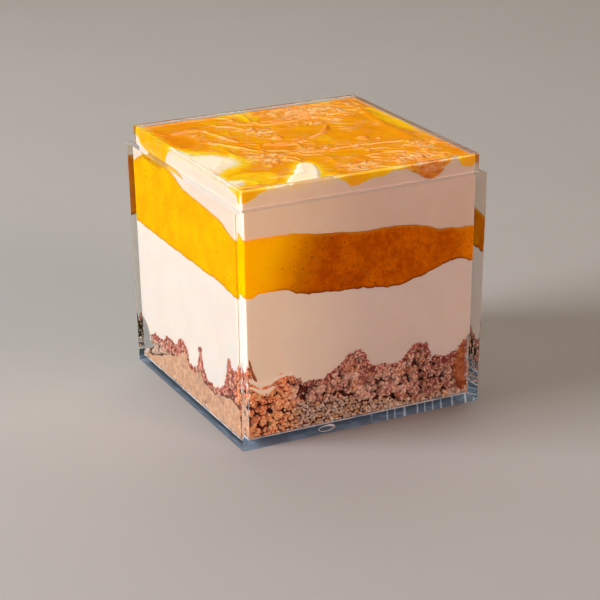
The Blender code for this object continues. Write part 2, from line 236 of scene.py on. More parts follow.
# %% The four surfaces
CRUMBLE_TOP = Surface(
    loop_of(
        front=[(-30, 20.6), (-28.4, 16.9), (-26.4, 14.6), (-23.6, 16.5), (-20.8, 17.3), (-18, 15.9),
               (-14, 14), (-9.5, 14.3), (-6.5, 16.1), (-3.2, 18.8), (-0.4, 19.7), (1.3, 17.6), (2.7, 14.7),
               (6.3, 14.3), (9.6, 13.9), (12.6, 16.2), (14.4, 17.9), (17.6, 17.5), (19.2, 14.2),
               (22, 13.3), (26, 14.4), (28.4, 17)],
        right=[(-30, 18.9), (-26, 15.6), (-22, 14.2), (-17, 16.8), (-14, 17.4), (-10, 13.6), (-5, 12.8),
               (-1, 15.2), (3, 18.1), (6, 17.2), (9, 13.5), (14, 13), (18, 15.6), (22, 16.9), (26, 14.1)],
        back=[(-26, 11.4), (-22, 13.6), (-18, 15.8), (-15, 12.2), (-9, 11.6), (-5, 14.9), (-1, 17.2),
              (3, 16.1), (7, 12.9), (12, 13.4), (16, 16.9), (20, 17.8), (24, 14.2), (30, 13.1)],
        left=[(-28, 18.6), (-25.6, 18.8), (-23.8, 20.5), (-21.6, 14.4), (-18.4, 11.2), (-15.2, 10.2),
              (-11, 10.9), (-9.3, 12.6), (-7.4, 17.6), (-5.6, 12.6), (-3.2, 10.8), (-0.8, 10.6),
              (0.8, 14), (2.6, 15.5), (4.9, 15.7), (7, 13.4), (9.5, 12.8), (13.2, 13), (16.4, 10.9),
              (21, 10.9), (25.6, 8.9), (30, 10.3)],
    ),
    middle=13.5, fade=2.2, fray=0.25, fray_size=1.5, seed=3,
)

MANGO_BOTTOM = Surface(
    loop_of(
        front=[(-30, 37.2), (-25.3, 38), (-20, 37.8), (-16.5, 36.3), (-9.5, 35.3), (-3.2, 35.1), (3.6, 34.3),
               (8.5, 33.6), (14.4, 34.7), (20.1, 36.3), (25.3, 37.8)],
        right=[(-30, 36.7), (-18, 37.6), (-4, 36), (10, 36.3), (22, 37.4)],
        back=[(-18, 38.9), (-2, 37.6), (14, 37.9), (30, 36.9)],
        left=[(-19, 38.1), (0, 38.2), (16, 38.4), (30, 38.6)],
    ),
    middle=36.5, fade=1.3, fray=0.2, fray_size=1.6, seed=21,
)

MANGO_TOP = Surface(
    loop_of(
        front=[(-30, 51.3), (-19.4, 51.2), (-9.5, 49.8), (0.3, 48.8), (8.3, 48.6), (15, 47.9), (22, 45.9)],
        right=[(-30, 45.5), (-16, 47.2), (0, 47), (14, 48.6)],
        back=[(-20, 54), (-6, 52.4), (10, 51.6), (22, 49.8), (30, 49.9)],
        left=[(-20.7, 53.8), (-11.3, 54.6), (-0.4, 55.5), (5.4, 57.3), (8, 57.9), (15, 57.9), (22, 57.6),
              (25.6, 56.7), (30, 54.6)],
    ),
    middle=50.0, fade=1.4, fray=0.15, fray_size=2.4, seed=37,
)

# The line where the upper cream gives way to the glaze. Towards the back of the left wall it drops steeply,
# where glaze and mango run together, and on the front it dips where glaze has run down behind the rim.
CREAM_EDGE = Surface(
    loop_of(
        front=[(-30, 59.9), (-27.5, 60.6), (-25.2, 62), (-21.4, 62.6), (-17.5, 62.9), (-9, 62.9),
               (-6.6, 62.2), (-4.6, 61.2), (-2.3, 60), (0.6, 60.6), (4.4, 61.3), (9.5, 61.9), (12, 61.5),
               (14, 60.6), (16.4, 59.2), (18.6, 58.2), (20.2, 59.2), (22.4, 60.9), (24.4, 62.1), (25.6, 62.2),
               (26.4, 60.6), (29.4, 60.3)],
        right=[(-30, 61), (-26, 60), (-12, 60.9), (-4, 61.3), (6, 59.6), (14, 60.6), (22, 61.2)],
        back=[(-24, 59.8), (-16, 61), (-6, 60.4), (4, 59.2), (14, 60.7), (22, 61.3), (30, 60.2)],
        left=[(-28.6, 61.9), (-24, 62.1), (-17, 62.3), (-15, 63), (5.2, 63), (7.2, 62), (8.6, 56.6),
              (15, 56.4), (22.6, 56.6), (26.2, 58.4), (30, 60.8)],
    ),
    middle=60.9, fade=9.0, fray=0.22, fray_size=1.6, seed=45,
)

around = np.linspace(0, LOOP, 961)[:-1]
band = MANGO_TOP.on_walls(around) - MANGO_BOTTOM.on_walls(around)
print(f"the mango band is {band.min():.1f} to {band.max():.1f} mm high")

# %% [markdown]
# ## From arrays to meshes
#
# A layer is a closed skin: out along its lower surface, up the wall, and in again along its upper surface.
# So its points fit into rows, each row once round the cup, and numpy can fill all the rows at once. Where
# a top is seen from above, its points are an even square grid instead, because rows crowd in the middle and
# leave the rim bare.

# %% Helpers for meshes
WALL_POINTS = 200


def put_mesh(name, points, faces, values=None, sharp=50):
    """An object from points in mm and arrays of faces, with a named number on each point for its finish."""
    mesh = bpy.data.meshes.new(name)
    rings = [face for group in faces for face in group.tolist()]
    mesh.from_pydata((points * MM).tolist(), [], rings)
    for attribute, numbers in (values or {}).items():
        layer = mesh.attributes.new(attribute, "FLOAT", "POINT")
        layer.data.foreach_set("value", np.asarray(numbers, np.float32).ravel())
    mesh.shade_smooth()
    mesh.set_sharp_from_angle(angle=math.radians(sharp))
    piece = bpy.data.objects.new(name, mesh)
    bpy.context.scene.collection.objects.link(piece)
    triangles = sum(len(ring) - 2 for ring in rings)
    print(f"{name}: {len(points):,} points, {triangles:,} triangles")
    return piece


def outline_of_square(points_a_side):
    """Places once round the walls, and the unit square's outline (u, v) there."""
    place = np.arange(4 * points_a_side) * LOOP / (4 * points_a_side)
    side = (place // (2 * WALL)).astype(int)
    along = np.mod(place, 2 * WALL) / WALL - 1
    one = np.ones_like(along)
    return place, np.choose(side, [along, one, -along, -one]), np.choose(side, [-one, along, one, -along])


# %% Rows of points


def rows_at(shares, heights, u, v, reach):
    """Rows of points: the outline times its share of the room's half width at the point's own height."""
    half = (half_room(heights) + reach) * shares
    return np.stack([u * half, v * half, heights], -1)


def buried_rows(surface, shares, u, v, reach, lift=0.0):
    """Rows along a surface: at each share of the way out, the point at that surface's height."""
    shares = np.asarray(shares)[:, None]
    heights = surface.height(shares * u * WALL, shares * v * WALL) + lift
    return rows_at(shares, heights, u, v, reach)


def wall_rows(low, high, count, u, v, reach):
    """Rows up the wall, evenly from one line of heights to another."""
    t = np.linspace(0, 1, count)[:, None]
    return rows_at(1, low + (high - low) * t, u, v, reach)


# %% Skins from rows


def band_faces(index):
    """Four-cornered faces between rows of point numbers, each row closed on itself."""
    beside = np.roll(index, -1, axis=1)
    return np.stack([index[:-1], beside[:-1], beside[1:], index[1:]], -1).reshape(-1, 4)


def fan_faces(row, middle, upwards):
    """Triangles from a closed row to one middle point."""
    beside = np.roll(row, -1)
    centre = np.full_like(row, middle)
    return np.stack([row, beside, centre] if upwards else [beside, row, centre], -1)


def closed_skin(rows, start=0):
    """The points and faces of rows shut by a fan at each end, their numbers counted from a start."""
    index = start + np.arange(rows.shape[0] * rows.shape[1]).reshape(rows.shape[:2])
    points = np.vstack([rows.reshape(-1, 3), rows[0].mean(0), rows[-1].mean(0)])
    end = start + index.size
    fans = [fan_faces(index[0], end, upwards=False), fan_faces(index[-1], end + 1, upwards=True)]
    return points, [band_faces(index), *fans]


def closed_layer(name, rows, values=None, sharp=50):
    """A piece from rows that run out, up and in. Its two end points take the mean of their row's numbers."""
    points, faces = closed_skin(rows)
    spread = {}
    for key, value in (values or {}).items():
        spread[key] = np.append(value, [value[0].mean(), value[-1].mean()])
    return put_mesh(name, points, faces, spread, sharp)


place, u, v = outline_of_square(WALL_POINTS)
print(f"a row has {len(place)} points, {LOOP / len(place):.2f} mm apart")

# %% [markdown]
# ## The crumble's body
#
# Crumble is a heap of buttery lumps. Low on the left wall it has been pressed into a smooth paste with fine
# cracks. Elsewhere it is loose: lumps touch the wall, and dark crevices run between them. A real heap needs
# thousands of lumps where it shows, and nothing behind them. So this body is pressed to the wall where there
# is paste, and drawn back where loose lumps will stand on it. There it is painted shade, a near black red for
# the dark of the crevices.

# %% The crumble's body
PASTE_TOP = Surface(
    loop_of(
        front=[(-29, 1), (0, 1), (29, 1)],
        right=[(-29, 1), (29, 1)],
        back=[(-29, 1), (29, 1)],
        left=[(-29.4, 9.2), (-24, 10.2), (-19, 9.4), (-14, 8.2), (-8.4, 9.8), (-5.2, 13.3), (2.8, 12.2),
              (9, 9.8), (16.5, 6.9), (23, 4.6), (27.5, 3.5), (29.4, 3)],
    ),
    middle=1, fade=1, fray=0.45, fray_size=2, seed=5,
)
# Below this line the crumble is a mass of fine grains.
FINE_TOP = Surface(
    loop_of(
        front=[(-30, 4.2), (-24, 5), (-19, 8.4), (-13.7, 9.4), (-7.1, 8.8), (0.9, 6.5), (10.5, 4.6),
               (16.1, 3.2), (24, 2.4)],
        right=[(-30, 3), (-14, 5.2), (2, 6.6), (18, 4.8)],
        back=[(-26, 4.4), (-10, 6.8), (8, 5.6), (24, 4.2)],
        left=[(-28, 4), (0, 3), (28, 3)],
    ),
    middle=6, fade=1, fray=0.8, fray_size=3, seed=6,
)
# Air pockets in two corners, as (middle, half widths).
POCKETS = (
    ((-30.5, 31.5, 8.2), (4.6, 7.0, 5.4)),
    ((30.6, -30.6, 15.4), (1.9, 1.9, 5.2)),
)
DRAWN_BACK = 1.7
CRACK_DEPTH = 0.10
# Crumbs touch the floor only here and there, so they stand this far clear of it.
STANDS_CLEAR = 0.03


# %% Paste, fine grains, cracks and pockets


def pressed_share(place, z):
    """1 in the paste and 0 in the loose crumble above it."""
    return 1 - step(-0.4, 0.5, z - PASTE_TOP.on_walls(place))


def fine_share(place, z):
    """1 in the mass of fine grains and 0 above it."""
    return 1 - step(-0.5, 0.5, z - FINE_TOP.on_walls(place))


def cracks(place, z):
    """1 along thin cracks: where warped noise passes through zero."""
    warp = 1.5 * noise(place, z, 4, 61)
    return 1 - step(0.0, 0.10, np.abs(noise(place + warp, z + warp, 3, 62)) * (1.4 + noise(place, z, 3, 63)))


def hollow_out(points, outwards=0.0):
    """Moves what lies in an air pocket straight out from the pocket's middle to its surface."""
    for middle, size in POCKETS:
        size = np.array(size) + outwards
        away = (points - middle) / size
        reach = np.linalg.norm(away, axis=-1, keepdims=True)
        moved = np.array(middle) + away / np.maximum(reach, 1e-6) * size
        points = np.where(reach < 1, moved, points)
    return points


# %% The body itself


def crumble_body():
    """Floor rows, wall rows drawn back by the loose relief, and top rows a little under the crumble's top."""
    low = FLOOR_THICKNESS + STANDS_CLEAR
    floor_shares = np.linspace(0.02, 0.98, 58)[:, None]
    floor = rows_at(floor_shares, np.full((len(floor_shares), len(place)), low), u, v, 0)
    floor[..., 2] += np.clip(0.45 + 0.45 * level_noise(floor[..., 0], floor[..., 1], 1.5, 71), 0, 1)
    top = CRUMBLE_TOP.on_walls(place) - 0.9
    heights = low + (top - low) * np.linspace(0, 1, 56)[:, None]
    pressed = pressed_share(place, heights)
    nodules = 0.5 + 0.35 * noise(place, heights, 1.2, 72) + 0.25 * noise(place, heights, 0.6, 73)
    dimples = step(0.3, 0.8, noise(place, heights, 2, 74))
    paste = 0.02 + CRACK_DEPTH * cracks(place, heights) + 0.10 * dimples
    drawn = DRAWN_BACK * (0.5 + nodules) * (1 - 0.72 * fine_share(place, heights))
    inset = pressed * paste + (1 - pressed) * drawn
    walls = rows_at(1, heights, u, v, REACH_BEHIND - inset)
    inner = buried_rows(CRUMBLE_TOP, np.linspace(0.94, 0.04, 10), u, v, 0, lift=-1.0)
    off_walls = ((len(floor), len(inner)), (0, 0))
    return closed_layer("crumble_body", hollow_out(np.concatenate([floor, walls, inner])), {
        "pressed": np.pad(pressed, off_walls),
        "depth": np.pad(np.clip(inset / DRAWN_BACK, 0, 1), off_walls),
    }, sharp=180)


crumble_core = crumble_body()

# %% [markdown]
# ## The lumps
#
# Each lump starts as a ball of 80 triangles, or 320 where the camera comes close. Its corners are pushed in
# and out and it is squashed and turned, so no two are alike. Those at the wall are pressed flat where they
# would go through it, just as soft crumbs are. All lumps of a kind are worked out as one array, lumps by
# corners by three, and joined into one mesh.

# %% Balls turned into lumps


def ball(subdivisions):
    """The corners and faces of a ball made of triangles."""
    mesh = bmesh.new()
    bmesh.ops.create_icosphere(mesh, subdivisions=subdivisions, radius=1)
    corners = np.array([vertex.co[:] for vertex in mesh.verts])
    faces = np.array([[vertex.index for vertex in face.verts] for face in mesh.faces])
    mesh.free()
    return corners, faces


def random_turns(count, rng):
    """Turns spread evenly over all directions, as matrices made from random unit quaternions."""
    q = rng.normal(size=(count, 4))
    w, x, y, z = (q / np.linalg.norm(q, axis=1, keepdims=True)).T
    return np.stack([
        1 - 2 * (y * y + z * z), 2 * (x * y - w * z), 2 * (x * z + w * y),
        2 * (x * y + w * z), 1 - 2 * (x * x + z * z), 2 * (y * z - w * x),
        2 * (x * z - w * y), 2 * (y * z + w * x), 1 - 2 * (x * x + y * y),
    ], -1).reshape(count, 3, 3)


def lumps(name, middles, radii, subdivisions, knobbly, seed, values):
    """Each corner is middle + radius * turn(direction * knobs * squash), then kept inside the cup's room.

    A lump is a cluster of granules, which meet in creases. With c the cosine of the angle to the nearest of
    some random directions, knobs = 1 + knobbly * (10 c - 9.2).
    """
    rng = np.random.default_rng(seed)
    corners, faces = ball(subdivisions)
    count = len(middles)
    granules = rng.normal(size=(count, 15, 3))
    granules /= np.linalg.norm(granules, axis=2, keepdims=True)
    nearest = (granules @ corners.T).max(1)
    bulge = np.clip(10 * nearest - 9.2, -1.5, 1)
    knobs = 1 + knobbly * bulge + 0.25 * knobbly * rng.normal(size=nearest.shape)
    squash = rng.uniform(0.78, 1.15, (count, 1, 3))
    shape = corners * knobs[..., None] * squash
    shape = np.einsum("nij,nkj->nki", random_turns(count, rng), shape)
    points = middles[:, None] + radii[:, None, None] * shape
    reach = rng.uniform(REACH_BEHIND + 0.01, REACH_IN_FRONT, (count, 1))
    points[..., 2] = np.maximum(points[..., 2], FLOOR_THICKNESS + STANDS_CLEAR)
    half = half_room(points[..., 2]) + reach
    points[..., 0] = np.clip(points[..., 0], -half, half)
    points[..., 1] = np.clip(points[..., 1], -half, half)
    faces = faces + len(corners) * np.arange(count)[:, None, None]
    spread = {key: np.repeat(value, len(corners)) for key, value in values.items()}
    spread["bulge"] = bulge
    inwards = half - np.maximum(np.abs(points[..., 0]), np.abs(points[..., 1]))
    spread["inwards"] = np.minimum(inwards, points[..., 2] - FLOOR_THICKNESS)
    return put_mesh(name, points.reshape(-1, 3), [faces.reshape(-1, 3)], spread, sharp=180)


# %% [markdown]
# Lumps stand at jittered places all over the walls, wherever the crumble is loose. Small ones stand side by
# side along the crumble's top, so that its line comes out scalloped. Each lump carries a random number for
# its tone and one for its hue.

# %% Where lumps stand

# Lumps are tried up to this far above the room's floor.
TRIED_UP_TO = 22
# A deep dark gap in the front wall: its place and height, and its half widths.
GAP_AT = (WALL - 15.4, 11.6)
GAP_SIZE = (0.8, 2.3)


def off_wall(place, z, depth):
    """The point at a place round the walls, at a height, that lies this deep inside the room."""
    place = np.mod(place, LOOP)
    side = (place // (2 * WALL)).astype(int)
    half = half_room(z) - depth
    along = np.clip(np.mod(place, 2 * WALL) - WALL, -half, half)
    return np.stack([
        np.choose(side, [along, half, -along, -half]),
        np.choose(side, [-half, along, half, -along]),
        z,
    ], -1)


def wall_spots(pitch, rng):
    """Jittered places and heights all over the walls, up to above the highest crumble."""
    rows, columns = round(TRIED_UP_TO / pitch), round(LOOP / pitch)
    across, up = np.meshgrid(np.arange(columns), np.arange(rows))
    spot = (across + 0.5 * (up % 2) + rng.uniform(-0.3, 0.3, across.shape)) * LOOP / columns
    z = FLOOR_THICKNESS + (up + 0.4 + rng.uniform(-0.3, 0.3, up.shape)) * pitch
    return spot.ravel(), z.ravel()


def room_below_top(spot, z):
    """The least distance up to the crumble's top, over a few places to both sides."""
    lines = [CRUMBLE_TOP.on_walls(np.mod(spot + aside, LOOP)) for aside in (-0.7, 0, 0.7)]
    return np.min(lines, axis=0) - z


# %% Lumps of crumble


def stand(name, middles, radii, rng, seed, subdivisions, knobbly, tones=(0, 1), hues=(0, 1)):
    """Lumps at these middles, apart from those in an air pocket, with tones and hues between two limits."""
    clear = np.ones(len(middles), bool)
    for middle, size in POCKETS:
        clear &= np.linalg.norm((middles - middle) / (np.array(size) + 0.5 * radii[:, None]), axis=1) >= 1
    middles, radii = middles[clear], radii[clear]
    values = {"tone": rng.uniform(*tones, len(radii)), "hue": rng.uniform(*hues, len(radii))}
    return lumps(name, middles, radii, subdivisions, knobbly, seed, values)


def wall_lumps(name, start, end, subdivisions, seed):
    """Lumps of 0.8 to 3 mm in the loose crumble between two places. A middle's depth is 0.45 to 0.95 of its
    radius."""
    rng = np.random.default_rng(seed)
    spot, z = wall_spots(1.95, rng)
    radii = 0.80 + 0.75 * rng.beta(2, 2.4, len(spot))
    radii = np.minimum(radii, room_below_top(spot, z) / 0.9)
    keep = (radii > 0.42) & (pressed_share(spot, z) < 0.45) & (fine_share(spot, z) < 0.6)
    keep &= (oval(spot, z, GAP_AT, GAP_SIZE) > 1) & (spot >= start) & (spot < end)
    spot, z, radii = spot[keep], z[keep], radii[keep]
    middles = off_wall(spot, z, radii * rng.uniform(0.45, 0.95, len(radii)))
    return stand(name, middles, radii, rng, seed, subdivisions, 0.26)


def edge_lumps():
    """Small lumps side by side along the crumble's line, each 0.85 of its radius below it, square to it."""
    rng = np.random.default_rng(17)
    along = np.arange(0, LOOP, 0.05)
    line = CRUMBLE_TOP.on_walls(along)
    length = np.cumsum(np.hypot(np.gradient(along), np.gradient(line)))
    spot = np.interp(np.arange(0.5, length[-1], 1.05), length, along)
    height = CRUMBLE_TOP.on_walls(spot)
    ahead, behind = (CRUMBLE_TOP.on_walls(np.mod(spot + aside, LOOP)) for aside in (0.3, -0.3))
    slope = (ahead - behind) / 0.6
    radii = rng.uniform(0.7, 1.15, len(spot))
    down = 0.85 * radii / np.hypot(1, slope)
    spot, z = spot + slope * down, height - down
    middles = off_wall(spot, z, radii * rng.uniform(0.1, 0.35, len(radii)))
    return stand("crumble_lumps_edge", middles, radii, rng, 18, 3, 0.22, tones=(-0.25, 0.25), hues=(0, 0.6))


lump_pieces = [
    edge_lumps(),
    wall_lumps("crumble_lumps_front", 0, 2 * WALL, 3, 12),
    wall_lumps("crumble_lumps_right", 2 * WALL, 4 * WALL, 2, 22),
    wall_lumps("crumble_lumps_back", 4 * WALL, 6 * WALL, 2, 32),
    wall_lumps("crumble_lumps_left", 6 * WALL, 8 * WALL, 3, 42),
]

# %% [markdown]
# ## Grains, and the heap seen from below
#
# Between the lumps lie grains of half a millimetre to a little over one. The lowest part of the heap is made
# of little else, so it looks finer and paler there. The clear floor shows the underside of the heap too,
# so lumps cover it as well.

# %% Grains of crumble


def wall_grains():
    """Small grains among the lumps, and a solid mass of them below the fine line."""
    rng = np.random.default_rng(13)
    spot, z = wall_spots(0.82, rng)
    fine = fine_share(spot, z)
    radii = 0.27 + 0.30 * rng.beta(1.5, 2.2, len(spot)) + 0.12 * fine
    wanted = np.where(fine > 0.5, 1.0, 0.22) * (1 - 0.97 * pressed_share(spot, z))
    keep = (rng.uniform(0, 1, len(spot)) < wanted) & (room_below_top(spot, z) > 1.6 * radii)
    spot, z, radii, fine = spot[keep], z[keep], radii[keep], fine[keep]
    depth = np.where(fine > 0.5, radii * rng.uniform(0.2, 0.9, len(radii)), rng.uniform(0.3, 1.3, len(radii)))
    return stand("crumble_grains", off_wall(spot, z, depth), radii, rng, 14, 1, 0.22)


def floor_lumps():
    """Lumps of 1.2 to 2.6 mm that stand on the floor, on a jittered square grid."""
    rng = np.random.default_rng(15)
    line = np.arange(-FLOOR_HALF + 1, FLOOR_HALF, 1.9)
    x, y = (grid.ravel() for grid in np.meshgrid(line, line))
    x, y = x + rng.uniform(-0.5, 0.5, len(x)), y + rng.uniform(-0.5, 0.5, len(y))
    radii = 0.6 + 0.7 * rng.beta(2, 2.6, len(x))
    middles = np.stack([x, y, FLOOR_THICKNESS + radii * rng.uniform(0.4, 0.95, len(x))], -1)
    return stand("crumble_floor_lumps", middles, radii, rng, 16, 2, 0.17)


lump_pieces += [wall_grains(), floor_lumps()]

# %% [markdown]
# ## The lower cream and the mango
#
# Both are smooth and touch the wall nearly everywhere, so their skins follow the room exactly and only the
# lines matter. The cream reaches a little less far into the wall than lumps and mango do, and runs on a
# little behind both. So the lumps cut their own scalloped edge out of it, and no crack opens between layers.

# %% Lower cream and mango
OUTWARDS = np.linspace(0.08, 0.96, 9)
TUCK = 1.0
DEEP_TUCK = 1.3


def lower_cream():
    """From under the crumble's top line to above the mango's bottom line."""
    low = CRUMBLE_TOP.on_walls(place) - DEEP_TUCK
    high = MANGO_BOTTOM.on_walls(place) + TUCK
    rows = np.concatenate([
        buried_rows(CRUMBLE_TOP, OUTWARDS, u, v, 0, lift=-DEEP_TUCK),
        wall_rows(low, high, 40, u, v, REACH_BEHIND),
        buried_rows(MANGO_BOTTOM, OUTWARDS[::-1], u, v, 0, lift=TUCK),
    ])
    return closed_layer("lower_cream_fill", hollow_out(rows, outwards=-0.4))


def mango():
    """From the mango's bottom line to its top line. Each point knows its place round the walls and how far
    away both lines are."""
    low, high = MANGO_BOTTOM.on_walls(place), MANGO_TOP.on_walls(place)
    rows = np.concatenate([
        buried_rows(MANGO_BOTTOM, OUTWARDS, u, v, 0),
        wall_rows(low, high, 44, u, v, REACH_IN_FRONT),
        buried_rows(MANGO_TOP, OUTWARDS[::-1], u, v, 0),
    ])
    return closed_layer("mango_fill", rows, {
        "above": rows[..., 2] - low,
        "below": high - rows[..., 2],
        "place": np.broadcast_to(place, rows.shape[:2]),
    })


lower_cream_fill = lower_cream()
mango_fill = mango()

# %% [markdown]
# ## Smears on the front wall
#
# A few tongues of cream, and some buttery film, were dragged over the crumble in the two corners of the
# front. Each is a tube along a path, oval in section, that the wall presses flat.

# %% Smears on the front wall

# Paths of (x, height, half width).
CREAM_TONGUES = (
    [(-29.4, 17.2, 0.5), (-27.6, 15.9, 0.9), (-25.5, 15.5, 1.1), (-22.5, 16.3, 0.9), (-19.6, 17.0, 0.6),
     (-18.1, 16.3, 0.3)],
    [(-28.8, 15.2, 0.4), (-26.6, 13.7, 0.75), (-24.8, 13.5, 0.8), (-22.9, 14.3, 0.3)],
)
BUTTER_FILMS = (
    [(-29.3, 22.2, 0.2), (-28.7, 19.2, 0.55), (-27.9, 17.2, 0.7), (-27.4, 16.2, 0.3)],
    [(28.2, 16.6, 0.3), (27.2, 13.6, 1.2), (26.9, 10.4, 1.9), (27.2, 6.6, 1.7), (28.2, 3.4, 0.6)],
)


def smears(name, tongues, stands_out):
    """Rings of points round each path: half width * cos across it and 0.4 mm * sin into the food."""
    turn = np.linspace(0, 2 * np.pi, 14, endpoint=False)
    points, faces = [], []
    for path in tongues:
        share = np.linspace(0, len(path) - 1, 44)
        x, z, wide = (np.interp(share, np.arange(len(path)), column) for column in np.array(path).T)
        for _ in range(12):
            x[1:-1], z[1:-1] = (x[:-2] + 2 * x[1:-1] + x[2:]) / 4, (z[:-2] + 2 * z[1:-1] + z[2:]) / 4
        wide = wide * (1 + 0.3 * noise(x + LOOP / 2, z, 1.2, 51))
        length = np.hypot(np.gradient(x), np.gradient(z))
        across = np.outer(wide, np.cos(turn))
        ring_x = x[:, None] - across * (np.gradient(z) / length)[:, None]
        ring_z = z[:, None] + across * (np.gradient(x) / length)[:, None]
        depth = np.maximum(0.2 + 0.4 * np.sin(turn), -stands_out) + 0 * ring_x
        rows = off_wall(WALL + ring_x, ring_z, depth)
        more_points, more_faces = closed_skin(rows, start=sum(len(group) for group in points))
        points.append(more_points)
        faces += more_faces
    return put_mesh(name, np.vstack(points), faces)


cream_smears = smears("cream_smears", CREAM_TONGUES, 0.13)
butter_smears = smears("butter_smears", BUTTER_FILMS, 0.12)

# %% [markdown]
# ## The glaze's relief
#
# Mango glaze sets with a skin. It lies in calm pools with folds between them, and near the front it breaks
# into pebbles and bubbles. The folds that catch the light are placed one by one, as short bent paths. The
# rest is noise: crests where warped noise passes through zero, and pebbles where the glaze is broken.

# %% Folds, pools and bubbles
GLAZE_LEVEL = 62.35

# Folds as (height, half width, path).
FOLDS = (
    (0.42, 0.55, [(-24.8, 20.4), (-21, 20.6), (-17.6, 18.9), (-15.7, 13.5), (-14.2, 7)]),
    (0.40, 0.50, [(-3.2, 29.5), (-3.4, 22), (-1.8, 17.6), (3, 16.2), (7.4, 17.4)]),
    (0.36, 0.60, [(3.8, 29.4), (10, 27.6), (17, 28.8), (23, 24.4)]),
    (0.40, 0.70, [(1.2, 18.3), (8, 21.4), (13.2, 17.4), (17, 12.8)]),
    (0.40, 0.60, [(-8.2, 1.2), (-4, -1.2), (1.8, 1.2), (7, 3.6), (11.7, 8.6)]),
    (0.26, 1.50, [(25.6, 27), (26.4, 16), (24.6, 4), (25.4, -6), (22.4, -15.6)]),
    (0.32, 0.50, [(-5, -8.6), (1, -9.4), (6, -8.6), (13.4, -9.8), (21, -11)]),
    (0.36, 0.55, [(24.2, -14.2), (27, -14.9), (30, -18)]),
    (0.32, 0.50, [(8.6, -18), (13, -17.2), (17, -18.6), (20, -23.8)]),
    (0.30, 0.55, [(-20, 9), (-15.4, 2.4), (-12, -3.4)]),
    (0.32, 0.50, [(-12.5, 22.5), (-8, 17.5), (-6.4, 11)]),
    (0.28, 0.50, [(-16, -5.5), (-10.5, -8), (-7, -13)]),
    (0.28, 0.50, [(10, 24.5), (16, 21.5), (21, 15.5)]),
)
# Calm pools, broken ground, and places where the skin has dried to a dull film that also gets a painted
# sheen, as (middle, half widths, turn).
POOLS = (
    ((4.2, 7.6), (6.0, 3.6), -25), ((13, -2.5), (8.0, 4.2), -25), ((-20, 26), (9.5, 3.8), -5),
    ((-25.5, 14), (4.0, 7.0), 0), ((-8, 4), (3.2, 2.6), 0), ((21, -4), (4.4, 6.4), 10),
    ((26, 12), (3.4, 9), 5), ((4, -13.6), (6.0, 2.6), -8), ((-3.6, 25), (3.4, 4.4), 0),
)
BROKEN = (
    ((-13.5, -9.5), (6.5, 6.0), 30), ((2.5, -24), (6.0, 4.5), 0), ((17.5, -23.5), (8.0, 4.5), 0),
    ((12, 23), (12, 6.5), -12), ((22, 22), (6, 6), 0), ((-5.5, 12), (5, 5), 0),
    ((3, -7.5), (9, 2.6), -10), ((9, 14), (7, 3), -20), ((24, -15), (5, 5), 0),
)
DULL_FILMS_AND_SHEEN = (
    ((11, 23), (10, 5.5), -10), ((2, 27), (9, 2.4), 0), ((-9, 16), (3, 2), 30), ((7, -23.5), (5, 2.5), 0),
)
# Bubbles and bits of fruit as (x, y, radius, height).
BLISTERS = (
    (14.3, -4.3, 1.3, 0.55), (-3.9, 5.2, 1.2, 0.5), (17.6, -6.2, 0.6, 0.3), (10.4, -14.2, 0.6, 0.3),
    (18.8, -24.4, 0.8, 0.4), (12.6, -25.6, 0.9, 0.45), (1.4, -24.3, 1.0, 0.45), (4.6, -22.6, 0.7, 0.35),
    (-5.8, 15.6, 0.7, 0.35), (-15.4, -14.6, 0.8, 0.4), (-12.6, -12.2, 0.7, 0.35), (22.5, -20.2, 0.9, 0.4),
    (25.2, 16.0, 0.7, 0.3), (20.0, 24.5, 0.8, 0.35), (9.2, 12.6, 0.6, 0.3), (24.0, -26.0, 0.8, 0.35),
)

print(f"{len(FOLDS)} folds, {len(POOLS)} pools, {len(BROKEN)} broken places and {len(BLISTERS)} blisters")

# %% The glaze's relief

# Where in the noise's lattice the swirls are read.
SWIRL_AT = 99


def soft_spots(x, y, ovals):
    """1 in the middle of any of these ovals, and 0 outside them all."""
    return np.max([1 - step(0.55, 1.15, oval(x, y, *one)) for one in ovals], axis=0)


def crests(x, y, size, narrow, seed):
    """Narrow crests where noise passes through zero: (1 - narrow * |noise|)^2."""
    return np.clip(1 - narrow * np.abs(noise(x, y, size, seed)), 0, 1) ** 2


